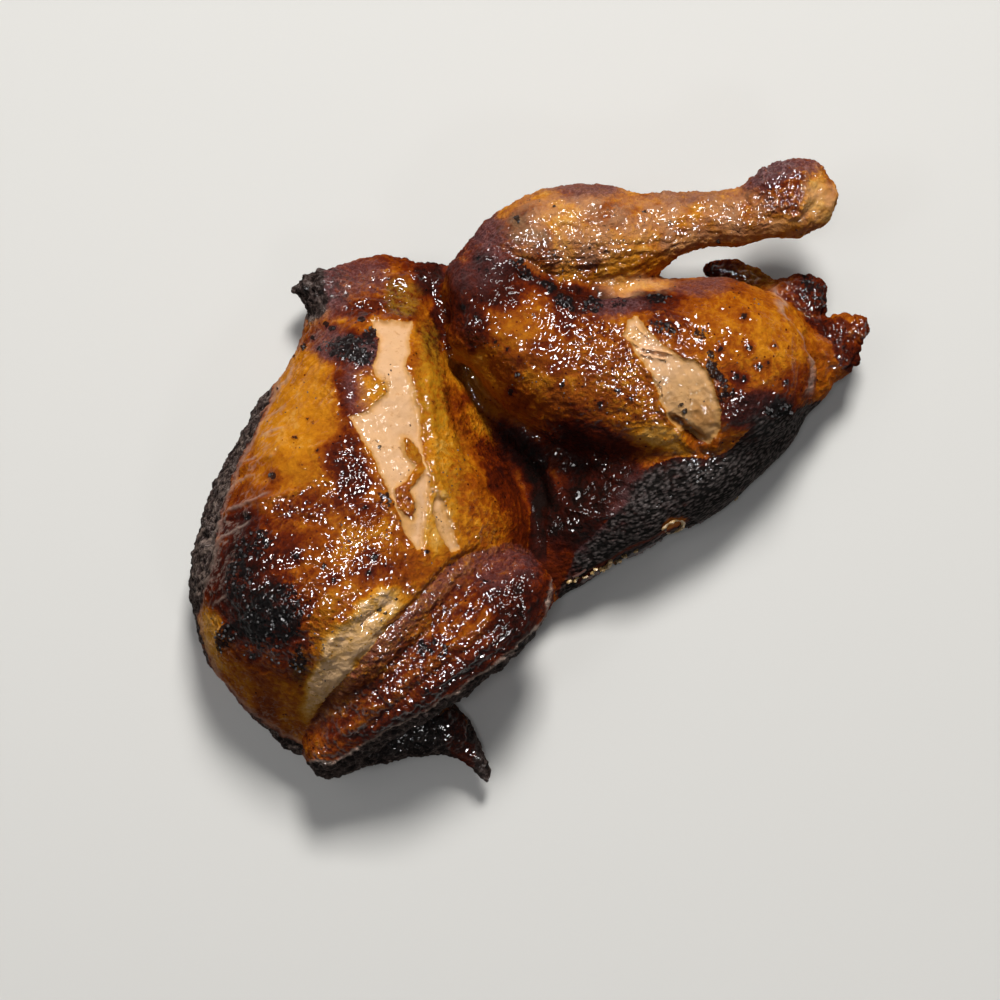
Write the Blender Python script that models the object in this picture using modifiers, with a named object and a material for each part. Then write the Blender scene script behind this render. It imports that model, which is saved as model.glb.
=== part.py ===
"""Half a roast chicken, lying on its cut side with the skin up.

The bird is split through breastbone and backbone, so the half is one piece: breast, wing, thigh,
drumstick, a strip of back and half the tail. +X points from the breast to the leg, +Y from the
wing to the drumstick and +Z up from the cut side, which is flat and is what the piece rests on.
The origin is in the middle of the footprint, on that flat side. Sizes in the lists are millimetres.
"""

import math

import bmesh
import bpy
import numpy as np
from mathutils import Vector

MM = 0.001
NODE = "half_chicken"

RING_SIDES = 64  # points round each section of a limb
RINGS_PER_STATION = 6
CAP_RINGS = 5  # rings that round off each end of a limb
VOXEL = 1.5 * MM  # cell of the remesh that grows the limbs together
TRIANGLES = 8200  # of the finished solid, before its flat side is cut
CUT_DEPTH = 60 * MM  # thickness of the block that trims the cut side

# Each limb is a row of stations: x, y and z of its middle, how far it reaches to the left and to the
# right of someone walking along the row, and how far it reaches up.
BREAST = [
    (-52, -71, 12, 21, 4, 12),
    (-52, -64, 12, 31, 13, 23),
    (-51, -52, 12, 42, 25, 38),
    (-49, -38, 12, 47, 33, 46),
    (-47, -22, 12, 46.5, 44, 45),
    (-45, -8, 12, 43.5, 45, 42),
    (-43, 6, 11, 38, 36, 39),
    (-41, 20, 11, 33, 25, 34),
    (-41, 34, 10, 26, 19, 27),
    (-42, 46, 10, 21.5, 17, 18),
    (-42, 52, 10, 17, 15, 12),
]
THIGH = [
    (-13, 48, 24, 11, 11, 20),
    (-3, 40, 25, 18, 19, 23),
    (13, 31, 25, 22, 23, 25),
    (33, 27, 24, 26, 26, 26),
    (52, 27, 21, 27, 24, 26),
    (65, 28, 17, 22, 19, 22),
    (73, 28, 14, 13, 12, 14),
]
BACK = [
    (-42, -54, 12, 14, 14, 12),
    (-18, -36, 12, 16, 15, 14),
    (-1, -20, 9, 16, 17, 11),
    (14, -11, 10, 18, 18, 16),
    (30, -2, 12, 18, 19, 23),
    (46, 9, 12, 18, 19, 25),
    (60, 21, 12, 16, 17, 21),
]
KNEE = [
    (-14, 43, 25, 9, 10, 19),
    (-11, 51, 27, 12, 12, 17),
    (-5, 57, 28, 12, 12, 15),
]
FLANK = [
    (-22, 46, 5, 6, 6, 10),
    (-20, 34, 5, 8, 8, 12),
    (-13, 20, 5, 12, 10, 12),
    (-2, 4, 6, 14, 10, 12),
    (12, -2, 8, 16, 14, 17),
    (28, 2, 10, 15, 12, 19),
    (44, 10, 10, 10, 8, 14),
]
DRUMSTICK = [
    (-10, 55, 29, 12, 11, 14),
    (3, 63, 29, 14, 14, 15),
    (18, 64, 29, 14.3, 14.3, 14.5),
    (28, 64.5, 29, 12, 12, 12.5),
    (37, 67, 30, 9.8, 8.5, 9.5),
    (47, 68.5, 31, 8.2, 6.9, 7.5),
    (57, 69, 32, 8, 7, 7.5),
]
KNUCKLE = [
    (59, 70, 32, 7, 7, 8),
    (66, 73.5, 32, 10, 10, 9.5),
    (73, 75, 32, 11, 10.5, 9.5),
    (76.5, 74, 32, 8, 8, 8.5),
]
WING = [
    (-2, -31, 36, 9, 10, 10),
    (-10, -38, 38, 11.5, 13, 11),
    (-20, -46, 38, 12, 13, 11),
    (-32, -55, 36, 12, 12, 10.5),
    (-43, -64, 31, 10, 10, 9.5),
    (-52, -71.5, 25, 8, 8, 8),
    (-57.5, -76.5, 22, 7, 6.5, 7),
]
WING_TIP = [
    (-58, -79, 15, 6, 6, 7),
    (-44, -74, 15, 7, 7, 7),
    (-32, -70.5, 15, 8, 8, 6.5),
    (-24, -71.5, 13, 7, 7, 5.5),
    (-18, -77, 11, 4, 4, 3.5),
    (-12.5, -86, 9, 1.6, 1.6, 1.8),
]
TAIL = [
    (70, 34, 16, 11, 11, 13),
    (77, 35, 16, 7, 8, 9),
    (83, 35, 16, 6, 7, 8),
]
TAIL_TIP = [
    (80, 37, 16, 4, 5, 7),
    (86, 39.5, 16, 4.5, 4.5, 5.5),
    (92, 40.5, 16, 2.5, 2.5, 3.5),
]
TAIL_LOBE = [
    (79, 32, 15, 5, 4.5, 8),
    (84, 30, 15, 5, 4.5, 7.5),
    (87, 31.5, 15, 3, 3, 5),
]
KEEL_FLAP = [
    (-66, 51.5, 14, 2, 2.5, 3),
    (-59, 50.5, 14, 6.5, 6, 8),
    (-47, 50, 14, 4.5, 7, 9),
    (-38, 52, 14, 6.5, 7, 9),
    (-30, 51, 13, 7.5, 6, 8),
    (-25, 54, 12, 5, 4, 6),
]
TAIL_CRUST = [
    (64, 46, 14, 5, 5, 7),
    (71, 48.5, 15, 6.5, 5, 6),
    (77.5, 47.5, 15, 7.5, 5, 6),
]
VENT_EDGE = [
    (50, 57, 7, 2.5, 2.5, 4),
    (55, 56.5, 7, 3.5, 3.5, 5),
    (62, 52, 8, 5, 5, 6),
    (66, 47, 9, 6, 6, 8),
]
LIMBS = (
    BREAST,
    THIGH,
    KNEE,
    BACK,
    FLANK,
    DRUMSTICK,
    KNUCKLE,
    WING,
    WING_TIP,
    TAIL,
    TAIL_TIP,
    TAIL_LOBE,
    KEEL_FLAP,
    TAIL_CRUST,
    VENT_EDGE,
)


def clear_scene():
    for old in list(bpy.data.objects):
        bpy.data.objects.remove(old, do_unlink=True)


def between(stations, t):
    """The station at t along the row, on a Catmull-Rom curve through all of them."""
    last = len(stations) - 1
    i = min(int(t), last - 1)
    before, a, b, after = (
        np.array(stations[min(max(k, 0), last)], float) for k in (i - 1, i, i + 1, i + 2)
    )
    u = t - i
    return 0.5 * (
        2 * a
        + (b - before) * u
        + (2 * before - 5 * a + 4 * b - after) * u**2
        + (3 * a - before - 3 * b + after) * u**3
    )


def ring_places(stations):
    """(station, push, scale) for every ring of a limb: push is how far a cap's ring is past its end."""
    last = len(stations) - 1
    angles = [math.pi / 2 * (k + 1) / (CAP_RINGS + 1) for k in range(CAP_RINGS)]
    places = [(0.0, -math.sin(a), math.cos(a)) for a in reversed(angles)]
    steps = last * RINGS_PER_STATION
    places += [(last * k / steps, 0.0, 1.0) for k in range(steps + 1)]
    places += [(float(last), math.sin(a), math.cos(a)) for a in angles]
    return places


def add_limb(mesh, stations, cap=0.7):
    """Lofts one closed limb through its stations. Its ends stand out by cap times their height."""
    last = len(stations) - 1
    rings = []
    for t, push, scale in ring_places(stations):
        x, y, z, left, right, height = between(stations, t)
        ahead = between(stations, min(t + 0.05, last))[:3]
        behind = between(stations, max(t - 0.05, 0))[:3]
        along = Vector(ahead - behind).normalized()
        side = along.cross(Vector((0, 0, 1))).normalized()
        up = side.cross(along)
        middle = Vector((x, y, z)) + along * push * cap * height
        ring = []
        for k in range(RING_SIDES):
            turn = 2 * math.pi * k / RING_SIDES
            reach = right if math.cos(turn) > 0 else left
            point = middle + side * (math.cos(turn) * reach * scale)
            point += up * (math.sin(turn) * height * scale)
            ring.append(mesh.verts.new(point * MM))
        rings.append(ring)
    for first, second in zip(rings, rings[1:]):
        for k in range(RING_SIDES):
            after = (k + 1) % RING_SIDES
            mesh.faces.new((first[k], second[k], second[after], first[after]))
    mesh.faces.new(rings[0])
    mesh.faces.new(reversed(rings[-1]))


def grown_together():
    """All limbs in one mesh, still overlapping."""
    mesh = bmesh.new()
    for stations in LIMBS:
        add_limb(mesh, stations)
    bmesh.ops.recalc_face_normals(mesh, faces=mesh.faces)
    data = bpy.data.meshes.new(NODE)
    mesh.to_mesh(data)
    mesh.free()
    return data


def applied(obj):
    """The object's mesh with its modifiers, which are then removed."""
    graph = bpy.context.evaluated_depsgraph_get()
    data = bpy.data.meshes.new_from_object(obj.evaluated_get(graph))
    obj.modifiers.clear()
    obj.data = data
    obj.data.name = obj.name


def fuse(obj):
    """Turns the overlapping limbs into one smooth skin and brings it to its number of triangles."""
    remesh = obj.modifiers.new("grow together", "REMESH")
    remesh.mode = "VOXEL"
    remesh.voxel_size = VOXEL
    smooth = obj.modifiers.new("soften creases", "SMOOTH")
    smooth.factor = 0.5
    smooth.iterations = 6
    applied(obj)
    obj.data.calc_loop_triangles()
    thin = obj.modifiers.new("fewer faces", "DECIMATE")
    thin.ratio = TRIANGLES / len(obj.data.loop_triangles)
    thin.use_collapse_triangulate = True
    applied(obj)


def trim_cut_side(obj, collection):
    """Cuts the half flat where it was split from the other half, at z = 0."""
    bpy.ops.mesh.primitive_cube_add(size=1, location=(0, 0, -CUT_DEPTH / 2))
    block = bpy.context.object
    block.name = "cut_side_block"
    block.scale = (0.4, 0.4, CUT_DEPTH)
    bpy.ops.object.transform_apply(location=False, rotation=False, scale=True)
    for group in list(block.users_collection):
        group.objects.unlink(block)
    collection.objects.link(block)
    block.hide_render = True
    block.display_type = "WIRE"
    cut = obj.modifiers.new("cut side", "BOOLEAN")
    cut.operation = "DIFFERENCE"
    cut.object = block
    applied(obj)


def centre(obj):
    """Puts the origin in the middle of the footprint, on the flat side."""
    points = np.array([v.co for v in obj.data.vertices])
    low, high = points.min(0), points.max(0)
    for vertex in obj.data.vertices:
        vertex.co.x -= (low[0] + high[0]) / 2
        vertex.co.y -= (low[1] + high[1]) / 2
        vertex.co.z -= low[2]


def roast_skin():
    material = bpy.data.materials.new("roast_skin")
    material.use_nodes = True
    shader = material.node_tree.nodes["Principled BSDF"]
    shader.inputs["Base Color"].default_value = (0.42, 0.14, 0.03, 1)
    shader.inputs["Roughness"].default_value = 0.3
    shader.inputs["Metallic"].default_value = 0
    return material


def main():
    clear_scene()
    parts = bpy.data.collections.new("roast chicken half")
    cutters = bpy.data.collections.new("cutters")
    for group in (parts, cutters):
        bpy.context.scene.collection.children.link(group)
    half = bpy.data.objects.new(NODE, grown_together())
    parts.objects.link(half)
    fuse(half)
    trim_cut_side(half, cutters)
    centre(half)
    half.data.materials.append(roast_skin())
    half.data.shade_smooth()


main()
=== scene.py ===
# %% [markdown]
# # Half a roast chicken, skin up
#
# The bird was split through breastbone and backbone, so this half is one piece: breast on the left,
# wing folded over it, thigh and drumstick on the right, a strip of back below and half the tail.
# Its skin is what there is to look at. It browned unevenly in the oven, it blistered and charred on
# the high places, it tore over the breast and the thigh, and it shines with fat.
#
# A skin like that could be painted on a smooth shape, but then its highlights would be smooth too.
# Here the plain solid is turned into a fine mesh, and every fold, blister and tear is pushed into
# that mesh. The same marks that shape a place also colour it, so the two always agree.

# %% Load the frame
import math

import bmesh
import bpy
import mathutils
import numpy as np
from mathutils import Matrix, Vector


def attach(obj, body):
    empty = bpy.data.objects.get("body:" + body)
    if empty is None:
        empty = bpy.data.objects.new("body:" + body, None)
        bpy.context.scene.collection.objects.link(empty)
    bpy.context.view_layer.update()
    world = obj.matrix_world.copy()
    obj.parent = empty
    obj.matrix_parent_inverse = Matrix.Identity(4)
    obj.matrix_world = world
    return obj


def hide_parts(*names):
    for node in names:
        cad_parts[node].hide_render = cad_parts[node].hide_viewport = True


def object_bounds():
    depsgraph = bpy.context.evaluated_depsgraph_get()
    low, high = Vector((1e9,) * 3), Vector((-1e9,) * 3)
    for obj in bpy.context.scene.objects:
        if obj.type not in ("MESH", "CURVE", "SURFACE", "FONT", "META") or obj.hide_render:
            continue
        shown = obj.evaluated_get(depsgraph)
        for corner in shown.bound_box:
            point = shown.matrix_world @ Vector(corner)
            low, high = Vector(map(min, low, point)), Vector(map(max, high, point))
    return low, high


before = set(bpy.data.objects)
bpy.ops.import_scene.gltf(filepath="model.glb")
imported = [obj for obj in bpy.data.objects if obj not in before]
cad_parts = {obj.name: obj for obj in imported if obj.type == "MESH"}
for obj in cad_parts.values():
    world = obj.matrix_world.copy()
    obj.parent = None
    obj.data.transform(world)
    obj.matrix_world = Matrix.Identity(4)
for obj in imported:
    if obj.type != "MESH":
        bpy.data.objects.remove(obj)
CAD_LOW, CAD_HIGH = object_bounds()
BIRD = "half_chicken"
MM = 0.001
print("solid, mm:", [round(side / MM, 1) for side in CAD_HIGH - CAD_LOW])

# %% [markdown]
# ## A plan to place things on
#
# Marks are placed on a plan of the bird in millimetres. The plan's zero is near the crease
# between breast and thigh, so it is measured in from the corner of the solid's box. It is drawn as
# the bird looks to an eye 0.9 m above it: high places seem a little farther out than they are.

# %% The plan
ZERO_FROM_CORNER = (94.2, 87.8)  # mm
PLAN_ZERO = np.array([
    CAD_LOW.x / MM + ZERO_FROM_CORNER[0], CAD_LOW.y / MM + ZERO_FROM_CORNER[1], 0.0
])
EYE = np.array([-8.0, -8.4, 900.0])
LEVEL = 25.0  # height at which the plan is drawn true to size


def on_plan(points):
    """Metres in the frame to millimetres on the plan."""
    return points / MM - PLAN_ZERO


def in_frame(points):
    """Millimetres on the plan to metres in the frame."""
    return (np.asarray(points, float) + PLAN_ZERO) * MM


def as_seen(points):
    """Where points on the plan seem to be, for the eye above it."""
    nearer = (EYE[2] - LEVEL) / (EYE[2] - points[:, 2])
    return EYE[:2] + (points[:, :2] - EYE[:2]) * nearer[:, None]


print("the plan's zero in the frame, mm:", PLAN_ZERO.round(1))

# %% [markdown]
# ## Blender's textures as numbers
#
# The texture nodes of Blender also run in Geometry Nodes, on any points, much faster than a loop in
# Python could. So noise here is a mesh of loose points, a tree with one texture node that stores its
# value, and the stored values read back.

# %% Geometry nodes from Python
def group_with_geometry(name):
    """An empty Geometry Nodes tree with a geometry going in and one coming out."""
    tree = bpy.data.node_groups.new(name, "GeometryNodeTree")
    tree.interface.new_socket("Geometry", in_out="INPUT", socket_type="NodeSocketGeometry")
    tree.interface.new_socket("Geometry", in_out="OUTPUT", socket_type="NodeSocketGeometry")
    return tree, tree.nodes.new("NodeGroupInput"), tree.nodes.new("NodeGroupOutput")


def wired(tree, kind, settings, sockets, output=0):
    """An output of a new node, whose sockets are filled with values or with other outputs."""
    node = tree.nodes.new(kind)
    for name, value in settings.items():
        setattr(node, name, value)
    for name, value in sockets.items():
        if isinstance(value, bpy.types.NodeSocket):
            tree.links.new(value, node.inputs[name])
        else:
            node.inputs[name].default_value = value
    return node.outputs[output]


# %% A texture at points
def placed(name, data):
    """A new object in the scene that shows a mesh, a curve, a light or a camera."""
    obj = bpy.data.objects.new(name, data)
    bpy.context.scene.collection.objects.link(obj)
    return obj


def texture(points, kind, settings, sockets):
    """One number per point from a texture node, whose pattern repeats about once per unit."""
    tree, entry, leave = group_with_geometry("texture at points")
    value = wired(tree, kind, settings, sockets)
    sockets = {"Name": "found", "Geometry": entry.outputs[0], "Value": value}
    stored = wired(tree, "GeometryNodeStoreNamedAttribute", {}, sockets)
    tree.links.new(stored, leave.inputs[0])

    mesh = bpy.data.meshes.new("points")
    mesh.vertices.add(len(points))
    mesh.vertices.foreach_set("co", np.ascontiguousarray(points, np.float32).ravel())
    cloud = placed("points", mesh)
    cloud.modifiers.new("texture", "NODES").node_group = tree
    done = cloud.evaluated_get(bpy.context.evaluated_depsgraph_get()).data
    found = np.empty(len(points), np.float32)
    done.attributes["found"].data.foreach_get("value", found)
    bpy.data.objects.remove(cloud)
    bpy.data.meshes.remove(mesh)
    bpy.data.node_groups.remove(tree)
    return found.astype(float)


# %% Noise, folds and domes
NOISE_SHIFT = 19.7  # moves each seed's noise to a place of its own
NOISE_SPREAD = 3.2  # Blender's noise stays near 0.5, and this brings it out to about -1 and 1
DOME_SHIFT = 7.3
DOME_RADIUS = 0.75


def noise(points, size, seed, detail=2.0):
    """Cloudy noise with swells of about size mm, from about -1 to 1."""
    sockets = {"Scale": 1.0, "Detail": detail}
    found = texture(points / size + NOISE_SHIFT * seed, "ShaderNodeTexNoise", {}, sockets)
    return (found - 0.5) * NOISE_SPREAD


def folds(points, size, seed, detail=1.5, width=0.16):
    """Narrow raised folds about size mm apart, from 0 between them to 1 on top."""
    return np.exp(-((noise(points, size, seed, detail) / width) ** 2))


def domes(points, size, seed):
    """Round pimples about size mm across, from 0 in the furrows to about 1 on top."""
    sockets = {"Scale": 1.0, "Smoothness": 0.3}
    settings = {"feature": "SMOOTH_F1"}
    found = texture(points / size + DOME_SHIFT * seed, "ShaderNodeTexVoronoi", settings, sockets)
    return np.clip(1 - (found / DOME_RADIUS) ** 2, 0, 1)


def turned(points, degrees, stretch):
    """The points with the plan turned, then drawn out along the turned x by stretch."""
    angle = math.radians(degrees)
    along = points[:, 0] * math.cos(angle) + points[:, 1] * math.sin(angle)
    across = points[:, 1] * math.cos(angle) - points[:, 0] * math.sin(angle)
    return np.stack([along / stretch, across, points[:, 2]], axis=1)


# %% [markdown]
# ## The fine mesh
#
# The solid has a few thousand flat triangles. A copy of it is merged, rounded by a Subdivision
# Surface with its flat cut side kept sharp, and remeshed into small even squares. Even squares
# matter: a fold two squares wide can then run in any direction.

# %% Make the fine mesh
MERGED_BELOW = 0.001 * MM
ROUNDINGS = 2
CELL = 0.45 * MM
SOFTENINGS = 8


def whole_mesh(obj):
    """The object's mesh as its modifiers leave it."""
    return bpy.data.meshes.new_from_object(obj.evaluated_get(bpy.context.evaluated_depsgraph_get()))


def fine_copy(node):
    """A merged, rounded and evenly remeshed copy of a CAD node's mesh."""
    merged = bmesh.new()
    merged.from_mesh(node.data)
    bmesh.ops.remove_doubles(merged, verts=merged.verts, dist=MERGED_BELOW)
    crease = merged.edges.layers.float.new("crease_edge")
    for edge in merged.edges:
        flat = [face.normal.z < -0.99 for face in edge.link_faces]
        edge[crease] = 1.0 if flat.count(True) == 1 else 0.0
    data = bpy.data.meshes.new("fine copy")
    merged.to_mesh(data)
    merged.free()
    obj = placed("fine copy", data)
    rounded = obj.modifiers.new("round", "SUBSURF")
    rounded.levels = ROUNDINGS
    rounded.render_levels = ROUNDINGS
    even = obj.modifiers.new("even", "REMESH")
    even.mode = "VOXEL"
    even.voxel_size = CELL
    soften = obj.modifiers.new("soften", "SMOOTH")
    soften.factor = 0.5
    soften.iterations = SOFTENINGS
    data = whole_mesh(obj)
    bpy.data.objects.remove(obj)
    return data


skin = fine_copy(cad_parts[BIRD])
print("fine mesh:", len(skin.vertices), "points,", len(skin.polygons), "faces")

# %% [markdown]
# ## Which part of the bird is where
#
# Breast skin, wing skin and back skin look different, so every point has to know what it belongs to.
# Each part is given a rough spine with a thickness, and a point belongs to the part whose spine is
# nearest, counted in thicknesses.

# %% Find the parts
SPINES = {  # x, y, z and thickness in mm
    "breast": [(-51, -67, 12, 24), (-49, -51, 12, 38), (-46, -23, 12, 46), (-43, 4, 12, 40),
               (-40, 33, 10, 26)],
    "flap": [(-62, 50, 14, 6), (-50, 49, 14, 9), (-38, 51, 14, 9), (-27, 52, 13, 8)],
    "wing": [(-1, -32, 36, 10), (-11, -40, 38, 13), (-29, -55, 36, 12), (-45, -67, 30, 10),
             (-56, -77, 22, 8)],
    "wing_tip": [(-55, -79, 14, 7), (-40, -75, 14, 8), (-25, -72, 14, 8), (-17, -78, 11, 4),
                 (-11, -85, 9, 2)],
    "thigh": [(-12, 45, 24, 15), (-2, 39, 25, 22), (14, 30, 25, 25), (34, 26, 24, 26),
              (53, 26, 21, 25), (69, 27, 15, 19)],
    "drumstick": [(-7, 58, 29, 12), (6, 63, 29, 14.5), (21, 64, 29, 14), (29, 64, 29, 12),
                  (38, 66, 30, 9), (56, 68, 32, 7.5)],
    "knuckle": [(63, 71, 32, 9), (69, 73, 32, 11), (78, 73, 32, 9)],
    "back": [(-17, -37, 11, 13), (1, -21, 9, 13), (15, -13, 9, 15), (31, -6, 11, 17),
             (47, 5, 11, 19), (61, 16, 11, 17)],
    "tail": [(75, 34, 16, 10), (83, 33, 16, 8), (92, 39, 16, 3)],
    "vent": [(51, 56, 7, 4), (56, 55, 7, 5), (63, 51, 8, 6), (66, 45, 14, 7), (72, 48, 15, 7),
             (79, 47, 15, 7)],
}


def vectors(data):
    """Stored vectors as numbers, one row per point."""
    found = np.empty(len(data) * 3, np.float32)
    data.foreach_get("vector", found)
    return found.astype(float).reshape(-1, 3)


def places(mesh):
    """Where every point is, in metres in the frame."""
    return vectors(mesh.attributes["position"].data)


def outward(mesh):
    """The direction straight out of the skin at every point."""
    return vectors(mesh.vertex_normals)


def spine_distance(points, spine):
    """How far the points are from the spine, in thicknesses of the part there."""
    spine = np.array(spine, float)
    nearest = np.full(len(points), 1e9)
    for a, b in zip(spine, spine[1:]):
        way = b[:3] - a[:3]
        t = np.clip((points - a[:3]) @ way / (way @ way), 0, 1)
        middle = a[:3] + t[:, None] * way
        thickness = a[3] + t * (b[3] - a[3])
        nearest = np.minimum(nearest, np.linalg.norm(points - middle, axis=1) / thickness)
    return nearest


plan = on_plan(places(skin))
seen = as_seen(plan)
facing_up = outward(skin)[:, 2]
near = {name: spine_distance(plan, spine) for name, spine in SPINES.items()}
PARTS = list(SPINES)

# %% [markdown]
# ## Marks placed one by one
#
# Everything on the skin is one of three kinds of mark. A stroke is an oval with a soft edge. A line
# runs through a few points. A patch is an outline. None of them should look drawn, so they are not
# measured at the plan's own coordinates but at coordinates shaken by noise, which gives each of them
# an uneven edge.

# %% Shaken coordinates
def shake(points, reaches, seed):
    """The plan's coordinates, moved by noise of each size and reach in mm."""
    moved = points.copy()
    for size, reach in reaches:
        moved[:, 0] += reach * noise(plan, size, seed)
        moved[:, 1] += reach * noise(plan, size, seed + 1)
    return moved


shaken = shake(seen, ((14, 1.8), (5, 1.1), (2.2, 0.5)), 1)
barely_shaken = shake(seen, ((5, 0.4), (1.8, 0.25)), 3)
print("shaken by up to", np.abs(shaken - seen).max().round(1), "mm")

# %% Ovals, lines and outlines
SOFT_EDGE = 0.4  # how far an oval fades inside and outside its outline, as a share of its size
LINE_CORE = 0.55  # share of a line's width at which it is down to a third
LINE_END = 3  # mm over which a line thins out at each end


def step(value, low, high):
    """0 below low, 1 above high, and a smooth rise between them. It falls if low is over high."""
    t = np.clip((value - low) / (high - low), 0, 1)
    return t * t * (3 - 2 * t)


def oval(x, y, along, across, turn):
    """1 inside an oval with those half sizes, turned by degrees, and 0 outside its soft edge."""
    angle = math.radians(turn)
    dx, dy = shaken[:, 0] - x, shaken[:, 1] - y
    u = (dx * math.cos(angle) + dy * math.sin(angle)) / along
    v = (dy * math.cos(angle) - dx * math.sin(angle)) / across
    return step(np.hypot(u, v), 1 + SOFT_EDGE, 1 - SOFT_EDGE)


def line_distance(points, line):
    """Distance in mm to a line through the given places."""
    line = np.array(line, float)
    nearest = np.full(len(points), 1e9)
    for a, b in zip(line, line[1:]):
        way = b - a
        t = np.clip((points - a) @ way / (way @ way), 0, 1)
        nearest = np.minimum(nearest, np.linalg.norm(points - a - t[:, None] * way, axis=1))
    return nearest


def line(places_on_it, width, points=None):
    """1 on a line and 0 at width mm from it, thinning out at both ends."""
    points = barely_shaken if points is None else points
    ends = np.array(places_on_it, float)[[0, -1]]
    end = np.min([np.linalg.norm(points - e, axis=1) for e in ends], axis=0)
    off = line_distance(points, places_on_it) / (LINE_CORE * width)
    return np.exp(-(off ** 2)) * step(end, 0, LINE_END)


def depth_in(outline, points=None):
    """How far inside a closed outline each point is, in mm, negative outside."""
    points = barely_shaken if points is None else points
    ring = np.array(list(outline) + [outline[0]], float)
    inside = np.zeros(len(points), bool)
    for (ax, ay), (bx, by) in zip(ring, ring[1:]):
        if ay == by:
            continue
        crosses = (ay > points[:, 1]) != (by > points[:, 1])
        inside ^= crosses & (points[:, 0] < (bx - ax) * (points[:, 1] - ay) / (by - ay) + ax)
    return np.where(inside, 1, -1) * line_distance(points, ring)


# %% Marks on a field
def blank(value=0.0):
    """A field with one value everywhere."""
    return np.full(len(plan), value)


def strokes(field, marks, where=1.0):
    """Lays ovals over a field one after another: value, x, y, half sizes, turn and strength."""
    for value, x, y, along, across, turn, strength in marks:
        field += (value - field) * oval(x, y, along, across, turn) * strength * where
    return field


def bands(field, marks, where=1.0):
    """Lays lines over a field one after another: value, width and the places they run through."""
    for value, width, way in marks:
        field += (value - field) * line(way, width, shaken) * where
    return field


# %% [markdown]
# The wing lies on the breast and the strip of back begins at a clear edge, so these two are given
# outlines of their own. A point inside one counts as nearer to that part, a point outside as farther.

# %% Outlines of the wing and the back
WING_OUTLINE = [
    (-62, -74), (-59, -67), (-55, -62), (-48, -55), (-44, -50), (-38, -43.5), (-32, -38), (-26, -30),
    (-21, -26), (-15, -23), (-10, -21), (-5, -20), (0, -22), (4, -26), (7, -32), (6, -40), (0, -46),
    (-10, -54), (-17, -60), (-28, -66), (-37, -71), (-47, -77), (-56, -83), (-62, -82),
]
BACK_OUTLINE = [
    (8, -34), (13, -23), (20, -16), (27, -10), (30, -4), (32, 0), (40, 3.4), (49, 2.7), (54, 4.5),
    (59, 10), (64, 14), (71, 15), (77, 18), (90, 20), (90, -10), (60, -45), (11, -45),
]
WING_TURN = 41  # degrees that the wing lies turned on the plan
WING_LEVEL = 20  # mm above the floor: lower down, the wing's outline doesn't count
on_top = plan[:, 2] > WING_LEVEL
in_wing = step(depth_in(WING_OUTLINE), -0.3, 0.3) * on_top
in_back = step(depth_in(BACK_OUTLINE), -0.5, 0.5)
near["wing"] += 0.5 * (1 - in_wing) * on_top - 0.6 * in_wing
for name in ("breast", "back"):
    near[name] += 0.3 * in_wing
near["back"] += 0.45 * (1 - in_back) * (plan[:, 0] > 5) - 0.8 * in_back
near["thigh"] += 0.3 * in_back
belongs = np.argmin([near[name] for name in PARTS], axis=0)


def part(*names, blend=0.12):
    """1 on the named parts and 0 elsewhere, fading over a strip where they meet the others."""
    own = np.min([near[name] for name in names], axis=0)
    others = np.min([near[name] for name in PARTS if name not in names], axis=0)
    return step(others - own, -blend, blend)


for number, name in enumerate(PARTS):
    print(f"{name}: {np.mean(belongs == number):.0%} of the skin")
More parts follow.
